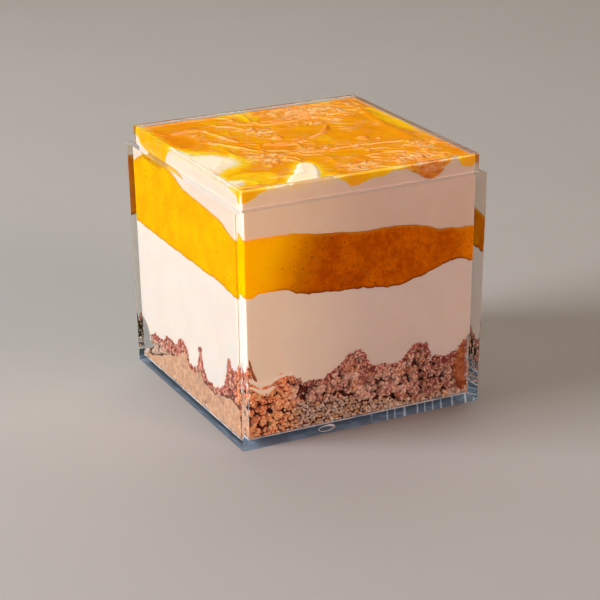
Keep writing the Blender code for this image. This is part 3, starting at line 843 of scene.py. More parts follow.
def glaze_top(x, y):
    """Level, plus folds, crests, pebbles and blisters.

    A fold is height * exp(-(distance / half width)^2). Crests of two sizes run mostly one way, since the
    glaze was drawn along with a knife. Pebbles are fine noise where the glaze is broken, and pools take
    nearly all of the crests away.
    """
    swirl_x, swirl_y = (1.6 * noise(x + SWIRL_AT, y + SWIRL_AT, 6, seed) for seed in (81, 82))
    wx, wy = x + swirl_x + LOOP / 2, y + swirl_y + LOOP / 2
    along, across = 0.60 * (0.9 * wx - 0.44 * wy), 1.15 * (0.44 * wx + 0.9 * wy)
    calm = soft_spots(x, y, POOLS)
    broken = soft_spots(x, y, BROKEN)
    level = GLAZE_LEVEL + 0.12 * noise(wx, wy, 9, 83) * (1 - calm)
    large = 0.24 * crests(along, across, 5, 3.4, 84) * step(-0.3, 0.3, noise(wx, wy, 7, 80))
    small = 0.13 * crests(along, across, 2.4, 2.2, 85) * step(-0.2, 0.4, noise(wx, wy, 5, 90))
    level = level + (1 - calm) * (large + small)
    level = level + broken * (0.15 * noise(wx, wy, 1.3, 87) + 0.10 * noise(wx, wy, 0.7, 88))
    level = level + 0.012 * noise(wx, wy, 1.4, 89)
    ripple_x, ripple_y = (0.5 * noise(wx, wy, 2, seed) for seed in (91, 92))
    for height, width, path in FOLDS:
        away = off_path(x + ripple_x, y + ripple_y, path)
        level = level + height * np.exp(-((away / width) ** 2)) * (0.75 + 0.25 * noise(wx, wy, 3, 93))
    for bx, by, radius, height in BLISTERS:
        level = level + height * np.exp(-((np.hypot(x - bx, y - by) / radius) ** 4))
    near_wall = WALL - np.maximum(np.abs(x), np.abs(y))
    level = GLAZE_LEVEL + (level - GLAZE_LEVEL) * (0.35 + 0.65 * step(0, 2.5, near_wall))
    return np.minimum(level + 0.05 * (1 - step(0, 1.2, near_wall)), CUP_HEIGHT)


probe = np.linspace(-WALL, WALL, 241)
probe_x, probe_y = np.meshgrid(probe, probe, indexing="ij")
relief = glaze_top(probe_x, probe_y)
print(f"the glaze's top lies between {relief.min():.2f} and {relief.max():.2f} mm")

# %% [markdown]
# ## Where cream shows through the glaze
#
# What colour the glaze has is a matter of how thick it lies: nothing over bare cream, a pale lemon skin at
# its edges, and deep orange in the pools. So the thing to work out is that thickness. It starts from the
# cream's line on the walls, and drops towards each patch of cream. Below nothing, the cream stands proud.

# %% How thick the glaze lies

# Patches as (outline, how fast the glaze thins towards it in mm each mm, how ragged its edge is).
PATCHES = (
    ([(-17.9, -31), (-17.2, -27.6), (-15.3, -25.5), (-11.5, -20.2), (-8.9, -16.7), (-7, -16.7), (-6.4, -19.6),
      (-7, -22.6), (-9.2, -28), (-10, -31)], 0.55, 0.5),
    ([(-31, 5.6), (-28.2, 1.6), (-25.4, -0.4), (-22, -2.6), (-20.6, -5.8), (-21.4, -9.8), (-25.5, -13),
      (-29, -15.4), (-31, -15.8)], 0.16, 1.3),
    ([(-30.5, -21.8), (-28.4, -21.4), (-26.6, -22.4), (-26.6, -24.2), (-28.4, -25.2), (-30.5, -24.6)],
     0.5, 0.3),
)
# How far from a patch the glaze takes up its own thickness again.
PATCH_REACH = 2.5
# The thin bright skin in the front left corner, and thin places along the back and the right, as (middle,
# half widths, turn, thickness).
THIN = (
    ((-23.5, -22), (9.5, 7.5), -15, 0.34),
    ((-2.2, 24.5), (4.6, 3.8), 0, 0.75),
    ((28.5, 8), (3.2, 17), 0, 0.62),
    ((-19, 4), (6.0, 4.0), -40, 0.8),
    ((-5, 28.6), (8.0, 3.0), 0, 0.62),
)


def glaze_thickness(x, y):
    """The glaze's own thickness, capped by the slope up from each ragged patch, and by each thin place.

    The cap of a patch is slope * away, plus 0.3 * (away - reach)^2 beyond its reach.
    """
    thick = glaze_top(x, y) - CREAM_EDGE.height(x, y)
    thick = thick + 0.35 * level_noise(x, y, 5, 95)
    for middle, size, turn, thin in THIN:
        way = step(0.6, 1.25, oval(x, y, middle, size, turn) + 0.12 * level_noise(x, y, 3, 96))
        thick = np.minimum(thick, thin + 12 * way)
    for outline, slope, ragged in PATCHES:
        away = -inside_by(x, y, outline) - ragged * level_noise(x, y, 4, 97, layers=3)
        thick = np.minimum(thick, slope * away + 0.3 * np.clip(away - PATCH_REACH, 0, None) ** 2)
    return np.clip(thick, -0.35, 6)


cover = glaze_thickness(probe_x, probe_y)
print(f"cream shows through {100 * (cover < 0).mean():.0f}% of the top")

# %% [markdown]
# ## The upper cream and the glaze
#
# The glaze's top is an even grid of quarter millimetres. Its underside is never seen, so it runs just below
# the cream's top, and the cream's own grid comes up through it wherever the thickness is negative.

# %% Upper cream and glaze


def grid_topped(name, points_a_side, height, rows_below, values, reach):
    """A skin with an even square grid on top and rows below it, whose outline is the grid's own rim."""
    share = np.linspace(-1, 1, points_a_side + 1)
    gu, gv = np.meshgrid(share, share, indexing="ij")
    z = height(gu * WALL, gv * WALL)
    half = half_room(z) + reach
    grid = np.stack([gu * half, gv * half, z], -1).reshape(-1, 3)
    number = np.arange(len(grid)).reshape(points_a_side + 1, -1)
    rim = np.concatenate([number[:-1, 0], number[-1, :-1], number[:0:-1, -1], number[0, :0:-1]])
    rows = rows_below(grid[rim])
    index = len(grid) + np.arange(rows.shape[0] * rows.shape[1]).reshape(rows.shape[:2])
    points = np.vstack([grid, rows.reshape(-1, 3), rows[0].mean(0)])
    top = np.stack([number[:-1, :-1], number[1:, :-1], number[1:, 1:], number[:-1, 1:]], -1).reshape(-1, 4)
    faces = [top, band_faces(np.vstack([index, rim])), fan_faces(index[0], len(points) - 1, upwards=False)]
    return put_mesh(name, points, faces, values(points[:, 0], points[:, 1]), sharp=60)


def upper_cream():
    """Its top lies under the glaze by the glaze's thickness; its bottom is tucked under the mango's top."""
    count = 200
    at, cu, cv = outline_of_square(count)

    def top(x, y):
        """The glaze's top less its thickness, which is at least a little so that the skins never touch."""
        thick = glaze_thickness(x, y)
        return np.minimum(glaze_top(x, y) - np.where(np.abs(thick) < 0.02, 0.02, thick), CUP_HEIGHT)

    def below(rim):
        return np.concatenate([
            buried_rows(MANGO_TOP, OUTWARDS, cu, cv, 0, lift=-TUCK),
            wall_rows(MANGO_TOP.on_walls(at) - TUCK, rim[:, 2], 30, cu, cv, REACH_BEHIND)[:-1],
        ])

    return grid_topped("upper_cream_fill", count, top, below, lambda x, y: {}, REACH_BEHIND)


def glaze():
    """The glaze's top, down the wall to the cream's edge, and a hidden underside inside the cream."""
    count = 240
    _, cu, cv = outline_of_square(count)
    under = 0.12

    def below(rim):
        x, y = cu * WALL, cv * WALL
        low = rim[:, 2] - np.maximum(glaze_thickness(x, y), under)
        shares = OUTWARDS[:, None]
        inner_x, inner_y = shares * x, shares * y
        bottom = glaze_top(inner_x, inner_y) - np.maximum(glaze_thickness(inner_x, inner_y), 0) - under
        return np.concatenate([
            rows_at(shares, bottom, cu, cv, 0),
            wall_rows(low, rim[:, 2], 14, cu, cv, REACH_IN_FRONT)[:-1],
        ])

    def values(x, y):
        """Numbers for the finish. Seen from the left and the front, the glaze's edge counts as thin."""
        thin_side = 1 - np.maximum(0.75 * step(27.5, 29.5, -x), 0.6 * step(29.3, 29.8, -y))
        return {
            "thick": np.clip(glaze_thickness(x, y), 0, 3) * thin_side,
            "ridge": glaze_top(x, y) - GLAZE_LEVEL,
            "busy": 1 - soft_spots(x, y, POOLS),
            "broken": soft_spots(x, y, BROKEN),
            "film": soft_spots(x, y, DULL_FILMS_AND_SHEEN),
            "wrinkled": step(9, 13, x) * step(26, 24, x) * step(-28, -29.5, y),
        }

    return grid_topped("mango_glaze_fill", count, glaze_top, below, values, REACH_IN_FRONT)


upper_cream_fill = upper_cream()
glaze_fill = glaze()

# %% [markdown]
# ## Finishes
#
# A finish is a small graph of shader nodes. Written out link by link such a graph is hard to read, so one
# class stands for a number that varies over a surface, and plain arithmetic on it adds the Math nodes.
# Everything else comes from one method that is given a node's kind, its settings and its sockets.

# %% A number in a finish


class Number:
    """A number or colour that varies over a surface."""

    def __init__(self, finish, socket):
        self.finish, self.socket = finish, socket

    def maths(self, operation, *numbers):
        """A Math node on these numbers."""
        return self.finish.node("Math", {"operation": operation}, dict(enumerate(numbers)))

    def __add__(self, other):
        return self.maths("ADD", self, other)

    def __sub__(self, other):
        return self.maths("SUBTRACT", self, other)

    def __rsub__(self, other):
        return self.maths("SUBTRACT", other, self)

    def __mul__(self, other):
        return self.maths("MULTIPLY", self, other)

    def __truediv__(self, other):
        return self.maths("DIVIDE", self, other)

    def __mod__(self, other):
        return self.maths("FLOORED_MODULO", self, other)

    def __lt__(self, other):
        return self.maths("LESS_THAN", self, other)

    def __gt__(self, other):
        return self.maths("GREATER_THAN", self, other)

    def __abs__(self):
        return self.maths("ABSOLUTE", self)

    __radd__ = __add__
    __rmul__ = __mul__

    def at_most(self, limit):
        return self.maths("MINIMUM", self, limit)

    def between(self, low, high):
        """0 up to low and 1 from high, with a soft step between. It runs down where high is below low."""
        settings = {"interpolation_type": "SMOOTHSTEP"}
        return self.finish.node("MapRange", settings, {"Value": self, "From Min": low, "From Max": high})


# %% A material


class Finish:
    """A material under construction."""

    def __init__(self, name):
        self.material = bpy.data.materials.new(name)
        self.material.use_nodes = True
        self.tree = self.material.node_tree
        self.tree.nodes.clear()
        self.here = self.node("TexCoord", output="Object")

    def node(self, kind, settings=None, sockets=None, output=0):
        """Adds a node: its settings first, then a value or a link for each socket. Gives one output."""
        node = self.tree.nodes.new("ShaderNode" + kind)
        for setting, value in (settings or {}).items():
            if setting == "stops":
                stops = node.color_ramp.elements
                for number, (where, colour) in enumerate(value):
                    stop = stops[number] if number < 2 else stops.new(where)
                    stop.position, stop.color = where, (*colour, 1)
            else:
                setattr(node, setting, value)
        for key, value in (sockets or {}).items():
            if isinstance(value, Number):
                self.tree.links.new(value.socket, node.inputs[key])
            else:
                node.inputs[key].default_value = value
        return Number(self, node.outputs[output])

    def value(self, name):
        """A number that the mesh carries on its points."""
        return self.node("Attribute", {"attribute_name": name}, output="Fac")

    def place(self):
        """The place on the object, as x, y and z in millimetres."""
        return [self.node("SeparateXYZ", {}, {0: self.here}, output=axis) / MM for axis in range(3)]

    def stretched(self, *shares):
        """The place on the object times a share along each axis, so that a pattern there is drawn out."""
        return self.node("Mapping", {}, {"Vector": self.here, "Scale": shares})

    def drift(self, by, size):
        """The place on the object, moved along each axis by up to twice this many mm in slow swirls."""
        sockets = {"Vector": self.here, "Scale": 1 / (size * MM), "Detail": 1.0}
        swirl = self.node("TexNoise", {}, sockets, "Color")
        settings = {"operation": "MULTIPLY_ADD"}
        return self.node("VectorMath", settings, {0: swirl, 1: (2 * by * MM,) * 3, 2: self.here})

    def grain(self, size, detail=3.0, rough=0.55, where=None):
        """Noise from 0 to 1 whose features are about this many millimetres across."""
        sockets = {"Vector": where or self.here, "Scale": 1 / (size * MM)}
        return self.node("TexNoise", {}, sockets | {"Detail": detail, "Roughness": rough})

    def mix(self, share, one, other):
        """One colour turning into the other as share goes from 0 to 1."""
        one, other = ((*colour, 1) if isinstance(colour, tuple) else colour for colour in (one, other))
        return self.node("Mix", {"data_type": "RGBA"}, {0: share, 6: one, 7: other}, output=2)

    def coats(self, colour, *coats):
        """A colour under thin coats, laid on in turn, each given as (share, colour)."""
        for share, coat in coats:
            colour = self.mix(share, colour, coat)
        return colour

    def bump(self, height, depth, normal=None):
        """A normal that tilts with a height, whose full swing is this many millimetres."""
        sockets = {"Height": height, "Distance": depth * MM, "Strength": 1.0}
        return self.node("Bump", {}, sockets | ({"Normal": normal} if normal else {}))

    def principled(self, **sockets):
        """The Principled shader, its sockets named in lower case with underscores."""
        named = {key.replace("_", " ").title().replace("Ior", "IOR"): value for key, value in sockets.items()}
        return self.node("BsdfPrincipled", {}, named)

    def done(self, shader, inside=None):
        """The finished material, with what light meets inside the piece."""
        out = self.tree.nodes.new("ShaderNodeOutputMaterial")
        self.tree.links.new(shader.socket, out.inputs["Surface"])
        if inside:
            self.tree.links.new(inside.socket, out.inputs["Volume"])
        return self.material


# %% Colours
BLACK = (0.0, 0.0, 0.0)


def shade(red, green, blue):
    """A colour as it looks on a screen, 0 to 255, turned into the light that a shader works with."""
    screen = np.array([red, green, blue]) / 255
    light = np.where(screen <= 0.04045, screen / 12.92, ((screen + 0.055) / 1.055) ** 2.4)
    return tuple(float(part) for part in light)


def wear(material, *pieces):
    for piece in pieces:
        piece.data.materials.clear()
        piece.data.materials.append(material)
    print(material.name, "has", len(material.node_tree.nodes), "nodes")


# %% [markdown]
# ## Cream
#
# Cheesecake cream is nearly white, a little warm, and lets light in by a millimetre or so. A soft mottling
# and a very shallow grain keep it from looking like paint. The lamp on the left shines right through the
# corner of a real one, further than a renderer lets light in. So a painted glow, a faint emission, lights the
# front at its left end, and the mango, the glaze and the crumbs get painted glows too: this painted light is
# tied to the place on the food.

# %% Cream


def cream_finish(name, one, other, depth=1.0):
    """Soft clouds of two tones, yellower at the cream's top, and a painted glow at the front's left end."""
    finish = Finish(name)
    x, y, z = finish.place()
    mottling = finish.grain(7, 2)
    fine = finish.grain(0.9, 3)
    stain = finish.mix(finish.grain(4, 3).between(0.35, 0.65), (0.88, 0.78, 0.60), (0.92, 0.77, 0.46))
    colour = finish.mix(mottling.between(0.3, 0.7), one, other)
    # painted light: a faint glow at the front's left end, for lamp light that comes through the cream
    painted_glow_share = x.between(8, -29) * y.between(-28.5, -29.3)
    return finish.done(finish.principled(
        base_color=finish.mix((z + mottling).between(60.8, 62.6), colour, stain),
        roughness=0.42 + 0.12 * fine,
        subsurface_weight=depth,
        subsurface_radius=(1.0, 0.8, 0.6),
        subsurface_scale=0.7 * MM,
        specular_ior_level=0.0,
        emission_color=finish.mix(painted_glow_share, BLACK, (0.20, 0.12, 0.045)),
        emission_strength=1.0,
        normal=finish.bump(fine, 0.04),
    ))


wear(cream_finish("cheesecake_cream", (0.92, 0.80, 0.70), (0.95, 0.83, 0.73)), lower_cream_fill)
# painted light: the smears wear a paler copy of the cream, lighter than the cream around them
wear(cream_finish("cheesecake_cream_smear_painted_light", (0.99, 0.84, 0.72), (0.99, 0.88, 0.79), depth=0.0), cream_smears)
# painted light: the top's cream is a darker, yellower copy of the cream; its yellow is light bounced off the
# glaze
wear(cream_finish("cheesecake_cream_top_painted_light", (0.88, 0.72, 0.57), (0.91, 0.75, 0.61)), upper_cream_fill)

# %% [markdown]
# ## Mango
#
# The band is fruit set in its own juice, with dark specks in it. Its own colour is a deeper orange. Where
# light comes straight through from the left it is painted bright yellow, and its right end on the front is
# painted lighter: painted light, with a painted glow over both. Each of its points carries its place round
# the walls, so the finish can turn from one to the other along the front.

# %% Mango
LEFT_WALL = 6 * WALL
RIGHT_CORNER = 2 * WALL


def mango_finish():
    """Deep orange, pulp and dark specks, painted light at the left and right ends, and ragged paler edges."""
    finish = Finish("mango_layer_fruit")
    along, above, below = (finish.value(name) for name in ("place", "above", "below"))
    cloud, pulp = finish.grain(6, 3), finish.grain(1.6, 4, 0.65)
    sideways = along + 8 * (cloud - 0.5) - 0.35 * above
    left = along.between(LEFT_WALL - 2, LEFT_WALL + 0.5)
    # painted light: a stretch at the right end of the front that is made lighter
    up_to_corner = along.between(RIGHT_CORNER - 6, RIGHT_CORNER - 0.5)
    right = up_to_corner * along.between(RIGHT_CORNER + 4, RIGHT_CORNER)
    # painted light: 1 where the lamp's light comes through from the left
    painted_light_share = (1.15 * (sideways.between(19, 0) + left)).at_most(1.0)
    specks = finish.grain(0.75, 1, 0.5).between(0.65, 0.70)
    ragged = 0.6 * (finish.grain(1.1, 3) - 0.5)
    deep = finish.coats(
        finish.mix(cloud.between(0.35, 0.65), shade(208, 100, 0), shade(230, 124, 0)),
        (pulp.between(0.5, 0.66) * 0.4, shade(246, 148, 10)),
        (pulp.between(0.46, 0.34) * 0.4, shade(168, 70, 0)),
        # painted light: the right end of the front lighter
        (right * 0.7, shade(244, 142, 8)),
    )
    # painted light: the bright yellow where light comes through
    painted_light_yellow = finish.mix(cloud.between(0.3, 0.7), shade(255, 176, 0), shade(255, 194, 0))
    colour = finish.coats(
        finish.mix(painted_light_share, deep, painted_light_yellow),
        (specks * (1 - 0.5 * painted_light_share) * 0.7, shade(110, 42, 0)),
        ((below + ragged).between(1.0, 0.25) * 0.6, shade(232, 156, 40)),
        ((above + ragged).between(0.75, 0.1) * (1 - 0.6 * painted_light_share) * 0.8, shade(140, 56, 6)),
    )
    # painted glow: emission where light comes through, on the left and at the right end
    painted_glow_share = sideways.between(15, 0) + 0.15 * left + 0.2 * right
    return finish.done(finish.principled(
        base_color=colour,
        roughness=0.4,
        subsurface_weight=1.0,
        subsurface_radius=(1.0, 0.7, 0.4),
        subsurface_scale=0.6 * MM,
        specular_ior_level=0.0,
        emission_color=finish.mix(painted_glow_share, BLACK, (0.46, 0.17, 0.0)),
        emission_strength=1.0,
        normal=finish.bump(finish.grain(1.5, 3), 0.05),
    ))


wear(mango_finish(), mango_fill)

# %% [markdown]
# ## Glaze
#
# The thickness that the mesh carries picks the colour, from cream through lemon to deep orange. Over it lie
# painted highlights: frayed pale streaks with painted shade in darker outlines, and pale pebbles on the
# broken ground. The wrinkled skin where glaze has run down the front wall has painted highlights on its
# folds and painted shade between them. The dull films get a painted sheen, and thin glaze and the front a
# painted glow. The skin is wet, so lamps show in it almost as in a mirror.

# %% Glaze


def glaze_finish():
    """Colour by thickness, hollows, mottling; painted highlights, shade, sheen and glow; the skin."""
    finish = Finish("mango_glaze_skin")
    x, y, _ = finish.place()
    ridge, busy, broken, skin = (finish.value(name) for name in ("ridge", "busy", "broken", "wrinkled"))
    thick = finish.value("thick") + 0.30 * (finish.grain(1.6, 4) - 0.5)
    fine = finish.grain(0.7, 3)
    where = finish.drift(1.6, 5)
    crease = abs(finish.grain(3.4, 3, 0.6, where) - 0.5)
    deep_enough = thick.between(0.3, 0.9)
    patchy = finish.grain(4.5, 2).between(0.44, 0.6) * busy * (0.3 + 0.7 * broken) * deep_enough
    painted_streak = crease.between(0.075, 0.045) * patchy
    pebble_highlight = finish.grain(0.9, 3, 0.6, where).between(0.53, 0.60) * broken * deep_enough
    folded = finish.grain(1.6, 4, 0.6, finish.stretched(0.5, 1, 1.8))
    film = finish.value("film") * finish.grain(2.4, 3).between(0.45, 0.6)
    by_thickness = {"stops": [
        (0.0, shade(254, 238, 204)), (0.9, shade(236, 144, 0)), (0.03, shade(255, 224, 134)),
        (0.09, shade(255, 204, 30)), (0.22, shade(255, 192, 0)), (0.45, shade(247, 163, 0)),
    ]}
    colour = finish.coats(
        finish.node("ValToRGB", by_thickness, {"Fac": thick / 3}),
        (ridge.between(-0.02, -0.22) * 0.6, shade(220, 112, 0)),
        (finish.grain(3, 4, 0.6).between(0.52, 0.72) * 0.3, shade(230, 134, 2)),
        (finish.grain(5, 3).between(0.55, 0.7) * 0.4, shade(255, 194, 0)),
        # painted shade: darker outlines beside the streaks
        (crease.between(0.15, 0.09) * patchy * 0.5, shade(214, 110, 0)),
        # painted highlight: the pale streaks
        (painted_streak * 0.8, shade(255, 206, 134)),
        # painted highlight: pale pebbles on the broken ground
        (pebble_highlight * 0.55, shade(255, 196, 108)),
        (skin * 0.5, shade(246, 160, 84)),
        # painted shade between the skin's folds, and painted highlights on them
        (skin * folded.between(0.46, 0.38) * 0.6, shade(206, 106, 30)),
        (skin * folded.between(0.53, 0.6) * 0.8, shade(255, 214, 176)),
        # painted sheen on the dull films
        (film * 0.5, shade(246, 182, 108)),
    )
    # painted glow: emission on the glaze's front side, most at the left, and where the glaze is thin
    front = y.between(-29.8, -30.05) * (1 - skin) * (0.55 + 0.45 * x.between(-14, -24))
    light = finish.mix(thick.between(0.9, 0.2), BLACK, (0.07, 0.045, 0.0))
    return finish.done(finish.principled(
        base_color=colour,
        roughness=0.05 + 0.05 * busy * fine + 0.3 * film,
        subsurface_weight=1.0,
        subsurface_radius=(1.0, 0.8, 0.5),
        subsurface_scale=0.4 * MM,
        specular_ior_level=0.35,
        ior=1.4,
        emission_color=finish.mix(front, light, (0.30, 0.13, 0.0)),
        emission_strength=1.0,
        normal=finish.bump(painted_streak + 0.7 * pebble_highlight, 0.12, finish.bump(fine * busy, 0.015)),
    ))


wear(glaze_finish(), glaze_fill)

# %% [markdown]
# ## Crumble
#
# A lump's own two random numbers pick its tone and hue. Where the heap lies near the floor it is paler and
# greyer, and in the front left corner more orange. Over that lie the granules of the dough, with painted
# shade in the creases and deep in the heap, and painted highlights where they stand out. All lumps glow
# faintly, and more in the front left corner: a painted glow.

# %% Crumble


def lump_finish():
    """Red-brown lumps, tan low down, orange in the front left corner; painted shade, highlights and glow."""
    finish = Finish("crumble_lump")
    x, y, z = finish.place()
    tone, hue, bulge, inwards = (finish.value(name) for name in ("tone", "hue", "bulge", "inwards"))
    fine, patches = finish.grain(0.55, 3, 0.7), finish.grain(4, 2) - 0.5
    cell = finish.node("TexVoronoi", {}, {"Vector": finish.drift(0.3, 1.2), "Scale": 1 / (0.85 * MM)})
    baked = (x + 3 * (finish.grain(5, 2) - 0.5)).between(8, 20) * y.between(-25, -28)
    corner = (x + 2 * patches).between(-15, -21) * y.between(-26, -28)
    low = (z + 4 * patches + (x + 14).between(0, 34) * 5).between(9.5, 7.5)
    red = finish.coats(
        finish.mix(tone, shade(196, 92, 74), shade(255, 206, 180)),
        (hue.between(0.65, 0.9) * 0.6, shade(232, 156, 98)),
        (tone.between(0.1, -0.1) * 0.7, shade(122, 40, 30)),
        (baked * 0.6, shade(148, 54, 46)),
        (x.between(-26, -28) * 0.5, finish.mix(tone, shade(206, 84, 70), shade(255, 146, 122))),
    )
    tan = finish.mix(tone, shade(200, 160, 138), shade(255, 232, 210))
    tan = finish.mix(hue.between(0.6, 0.85) * 0.75, tan, shade(228, 164, 92))
    orange = finish.mix(tone, shade(255, 112, 56), shade(255, 186, 122))
    # painted shade colour, browner low down
    deep = finish.mix(low, shade(86, 12, 6), shade(122, 76, 50))
    # painted highlight colour
    painted_highlight_colour = shade(255, 216, 180)
    colour = finish.coats(
        finish.mix(low, red, tan),
        (corner * hue.between(0.05, 0.5), orange),
        # painted shade at granule edges, in creases and deep in the heap; painted highlights where they stand
        # out
        (cell.between(0.38, 0.72) * 0.45, deep),
        (cell.between(0.30, 0.08) * 0.35, painted_highlight_colour),
        (fine.between(0.48, 0.62) * bulge.between(-0.6, 0.4) * 0.85, painted_highlight_colour),
        (fine.between(0.45, 0.31) * 0.6, deep),
        (bulge.between(-0.4, -1.2) * 0.4, deep),
        (inwards.between(0.3, 1.4) * 0.75, deep),
    )
    # painted glow: a faint emission of the lump colour, paler and brighter in the front left corner
    painted_glow_colour = finish.mix(fine.between(0.38, 0.60), shade(176, 44, 12), shade(255, 188, 116))
    painted_glow_colour = finish.mix(inwards.between(0.15, 0.9), painted_glow_colour, (0.02, 0.0, 0.0))
    return finish.done(finish.principled(
        base_color=colour,
        roughness=0.38 + 0.3 * fine,
        specular_ior_level=0.35,
        emission_color=finish.mix(corner * 0.9, finish.mix(0.55, colour, BLACK), painted_glow_colour),
        emission_strength=0.3,
        normal=finish.bump(fine, 0.25, finish.bump(cell * -1, 0.3)),
    ))


wear(lump_finish(), *lump_pieces)

# %% Paste and butter


def body_finish():
    """Tan paste with dark cracks where pressed, and painted shade in near black red between the lumps."""
    finish = Finish("crumble_paste")
    fine = finish.grain(1.2, 4, 0.6)
    paste = finish.mix(fine.between(0.35, 0.7), shade(206, 156, 122), shade(230, 186, 152))
    paste = finish.mix(finish.grain(0.8, 2).between(0.64, 0.74) * 0.5, paste, shade(160, 100, 78))
    # painted shade: the near black red between the lumps
    painted_crevice_shade = finish.mix(fine, shade(74, 18, 10), shade(128, 52, 36))
    share = finish.value("pressed") * finish.value("depth").between(0.14, 0.05)
    return finish.done(finish.principled(
        base_color=finish.mix(share, painted_crevice_shade, paste),
        roughness=0.6 + 0.2 * fine,
        specular_ior_level=0.1,
        normal=finish.bump(fine, 0.12),
    ))


def butter_finish():
    """Orange-brown film, smooth and mottled."""
    finish = Finish("crumble_butter_film")
    cloud = finish.grain(1.6, 3, 0.6)
    return finish.done(finish.principled(
        base_color=finish.mix(cloud.between(0.35, 0.65), shade(150, 74, 40), shade(204, 128, 80)),
        roughness=0.4,
        specular_ior_level=0.1,
        normal=finish.bump(cloud, 0.1),
    ))


wear(body_finish(), crumble_core)
wear(butter_finish(), butter_smears)

# %% [markdown]
# ## Clear plastic
#
# Light bends at each face of the wall, which is what draws the bright and dark lines in its corners. A
# renderer that follows light backwards finds no lamp through bent light, and food behind the wall would be
# black. So lamps' rays, and light on its way between pieces of food, go straight through instead.
#
# Two faces differ. The underside shows through the floor as a dark blue sheet with soft waves and a row of
# bright streaks. These are painted onto the underside as a colour of its own: painted reflection in the blue,
# painted highlights in the streaks, and a faint painted glow. The ledge under the rim would mirror a line of
# mango, so it is mostly clear, with a little grey painted in as a painted reflection.

# %% Clear plastic
UNDERSIDE_REACH = 0.1
LEDGE_HEIGHT = 58.6
STREAK_PITCH = 2.7
# Along a streak, x changes by this much for each mm of y.
STREAK_LEAN = 0.31
WANDER_SIZE = 7


def underside_of(finish, through):
    """Painted reflection in blue soft waves with a faint painted glow, and painted highlights in streaks. A
    streak lies wherever the place across them, counted in pitches and shifted by slow noise, is half way
    between two whole numbers."""
    x, y, _ = finish.place()
    wave = finish.grain(2.6, 3, 0.5, finish.stretched(0.5, 0.5, 1)).between(0.46, 0.66) * 0.7
    across = x - STREAK_LEAN * y
    slowly = {"W": across / WANDER_SIZE, "Scale": 1.0, "Detail": 0.0}
    wander = finish.node("TexNoise", {"noise_dimensions": "1D"}, slowly)
    from_streak = abs((across / STREAK_PITCH + 1.4 * wander) % 1 - 0.5)
    # painted highlights: the bright streaks
    painted_streak = from_streak.between(0.12, 0.04) * x.between(2, 8) * 0.75
    # painted reflection in blue, and a faint painted glow
    colour = finish.mix(wave, (0.08, 0.14, 0.21), (0.22, 0.33, 0.45))
    painted_underside_glow = finish.mix(wave, (0.03, 0.05, 0.075), (0.05, 0.09, 0.13))
    painted_underside = finish.principled(
        base_color=finish.mix(painted_streak, colour, (0.8, 0.88, 0.95)),
        roughness=0.5,
        specular_ior_level=0.0,
        emission_color=finish.mix(painted_streak, painted_underside_glow, (0.2, 0.25, 0.3)),
        emission_strength=1.0,
    )
    return finish.node("MixShader", {}, {0: 0.35, 1: painted_underside, 2: through})


def clear_plastic():
    """Clear inside a faint blue, with its underside and ledge told apart by height."""
    finish = Finish("clear_cup_plastic")
    _, _, z = finish.place()
    through = finish.node("BsdfTransparent", {}, {"Color": (0.95, 0.96, 0.97, 1)})
    plastic = finish.principled(
        base_color=(0.985, 0.99, 0.995, 1),
        roughness=0.010 + 0.02 * finish.grain(14, 3).between(0.5, 0.8),
        transmission_weight=1.0,
        specular_tint=(0.3, 0.3, 0.3, 1),
        ior=1.52,
    )
    # painted reflection: a little dull grey on the ledge, where it would mirror a line of mango
    ledge_painted_grey = finish.principled(base_color=(0.42, 0.39, 0.36, 1), roughness=0.6, specular_ior_level=0.0)
    ledge = finish.node("MixShader", {}, {0: 0.25, 1: through, 2: ledge_painted_grey})
    at_ledge = (z > LEDGE_HEIGHT - 0.25) * (z < LEDGE_HEIGHT + 0.05)
    at_underside = z < UNDERSIDE_REACH
    rays = [finish.node("LightPath", output=kind) for kind in ("Is Diffuse Ray", "Is Shadow Ray")]
    instead = [(at_underside, underside_of(finish, through)), (at_ledge, ledge)]
    for share, shader in instead + [(ray, through) for ray in rays]:
        plastic = finish.node("MixShader", {}, {0: share, 1: plastic, 2: shader})
    depths = finish.node("VolumeAbsorption", {}, {"Color": (0.3, 0.5, 0.7, 1), "Density": 18.0})
    return finish.done(plastic, depths)


wear(clear_plastic(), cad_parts["cup"])

# %% [markdown]
# ## Two details in the floor
#
# The inside corner between wall and floor is not quite sharp. The small round in it gathers light, and shows
# as a thin bright line under the crumble. That line is a painted highlight: a hair of pale plastic, square in
# section. And when the cup was moulded a flat bubble stayed in the front of the floor. Only its outline
# shows, as a painted highlight too: a ring of pale plastic, thickest where it catches the light.

# %% A bright line and a bubble
LINE_WIDTH = 0.26
LINE_CLEAR = 0.02
BUBBLE = (-9.8, -30.9, 1.2)
BUBBLE_HALF_WIDTH, BUBBLE_HALF_HEIGHT = 2.0, 0.7


def painted_highlight_plastic():
    """Painted highlight: pale, brighter in some stretches than in others."""
    finish = Finish("painted_highlight_plastic")
    colour = finish.mix(finish.grain(5, 2).between(0.3, 0.6), (0.35, 0.42, 0.48), (0.92, 0.94, 0.96))
    return finish.done(finish.principled(base_color=colour, roughness=0.4, specular_ior_level=0.0))


def ring(name, rows):
    """A ring from rows of points, whose last row joins the first."""
    index = np.arange(rows.shape[0] * rows.shape[1]).reshape(rows.shape[:2])
    return put_mesh(name, rows.reshape(-1, 3), [band_faces(np.vstack([index, index[:1]]))])


def corner_line():
    """A square section carried along the room's outline, down and out from the floor's edge."""
    near, far = LINE_CLEAR, LINE_WIDTH
    section = ((near, -far), (far, -far), (far, -near), (near, -near))
    rows = [rows_at(1, np.full(len(u), FLOOR_THICKNESS + rise), u, v, out) for out, rise in section]
    return ring("floor_corner_line", np.array(rows))


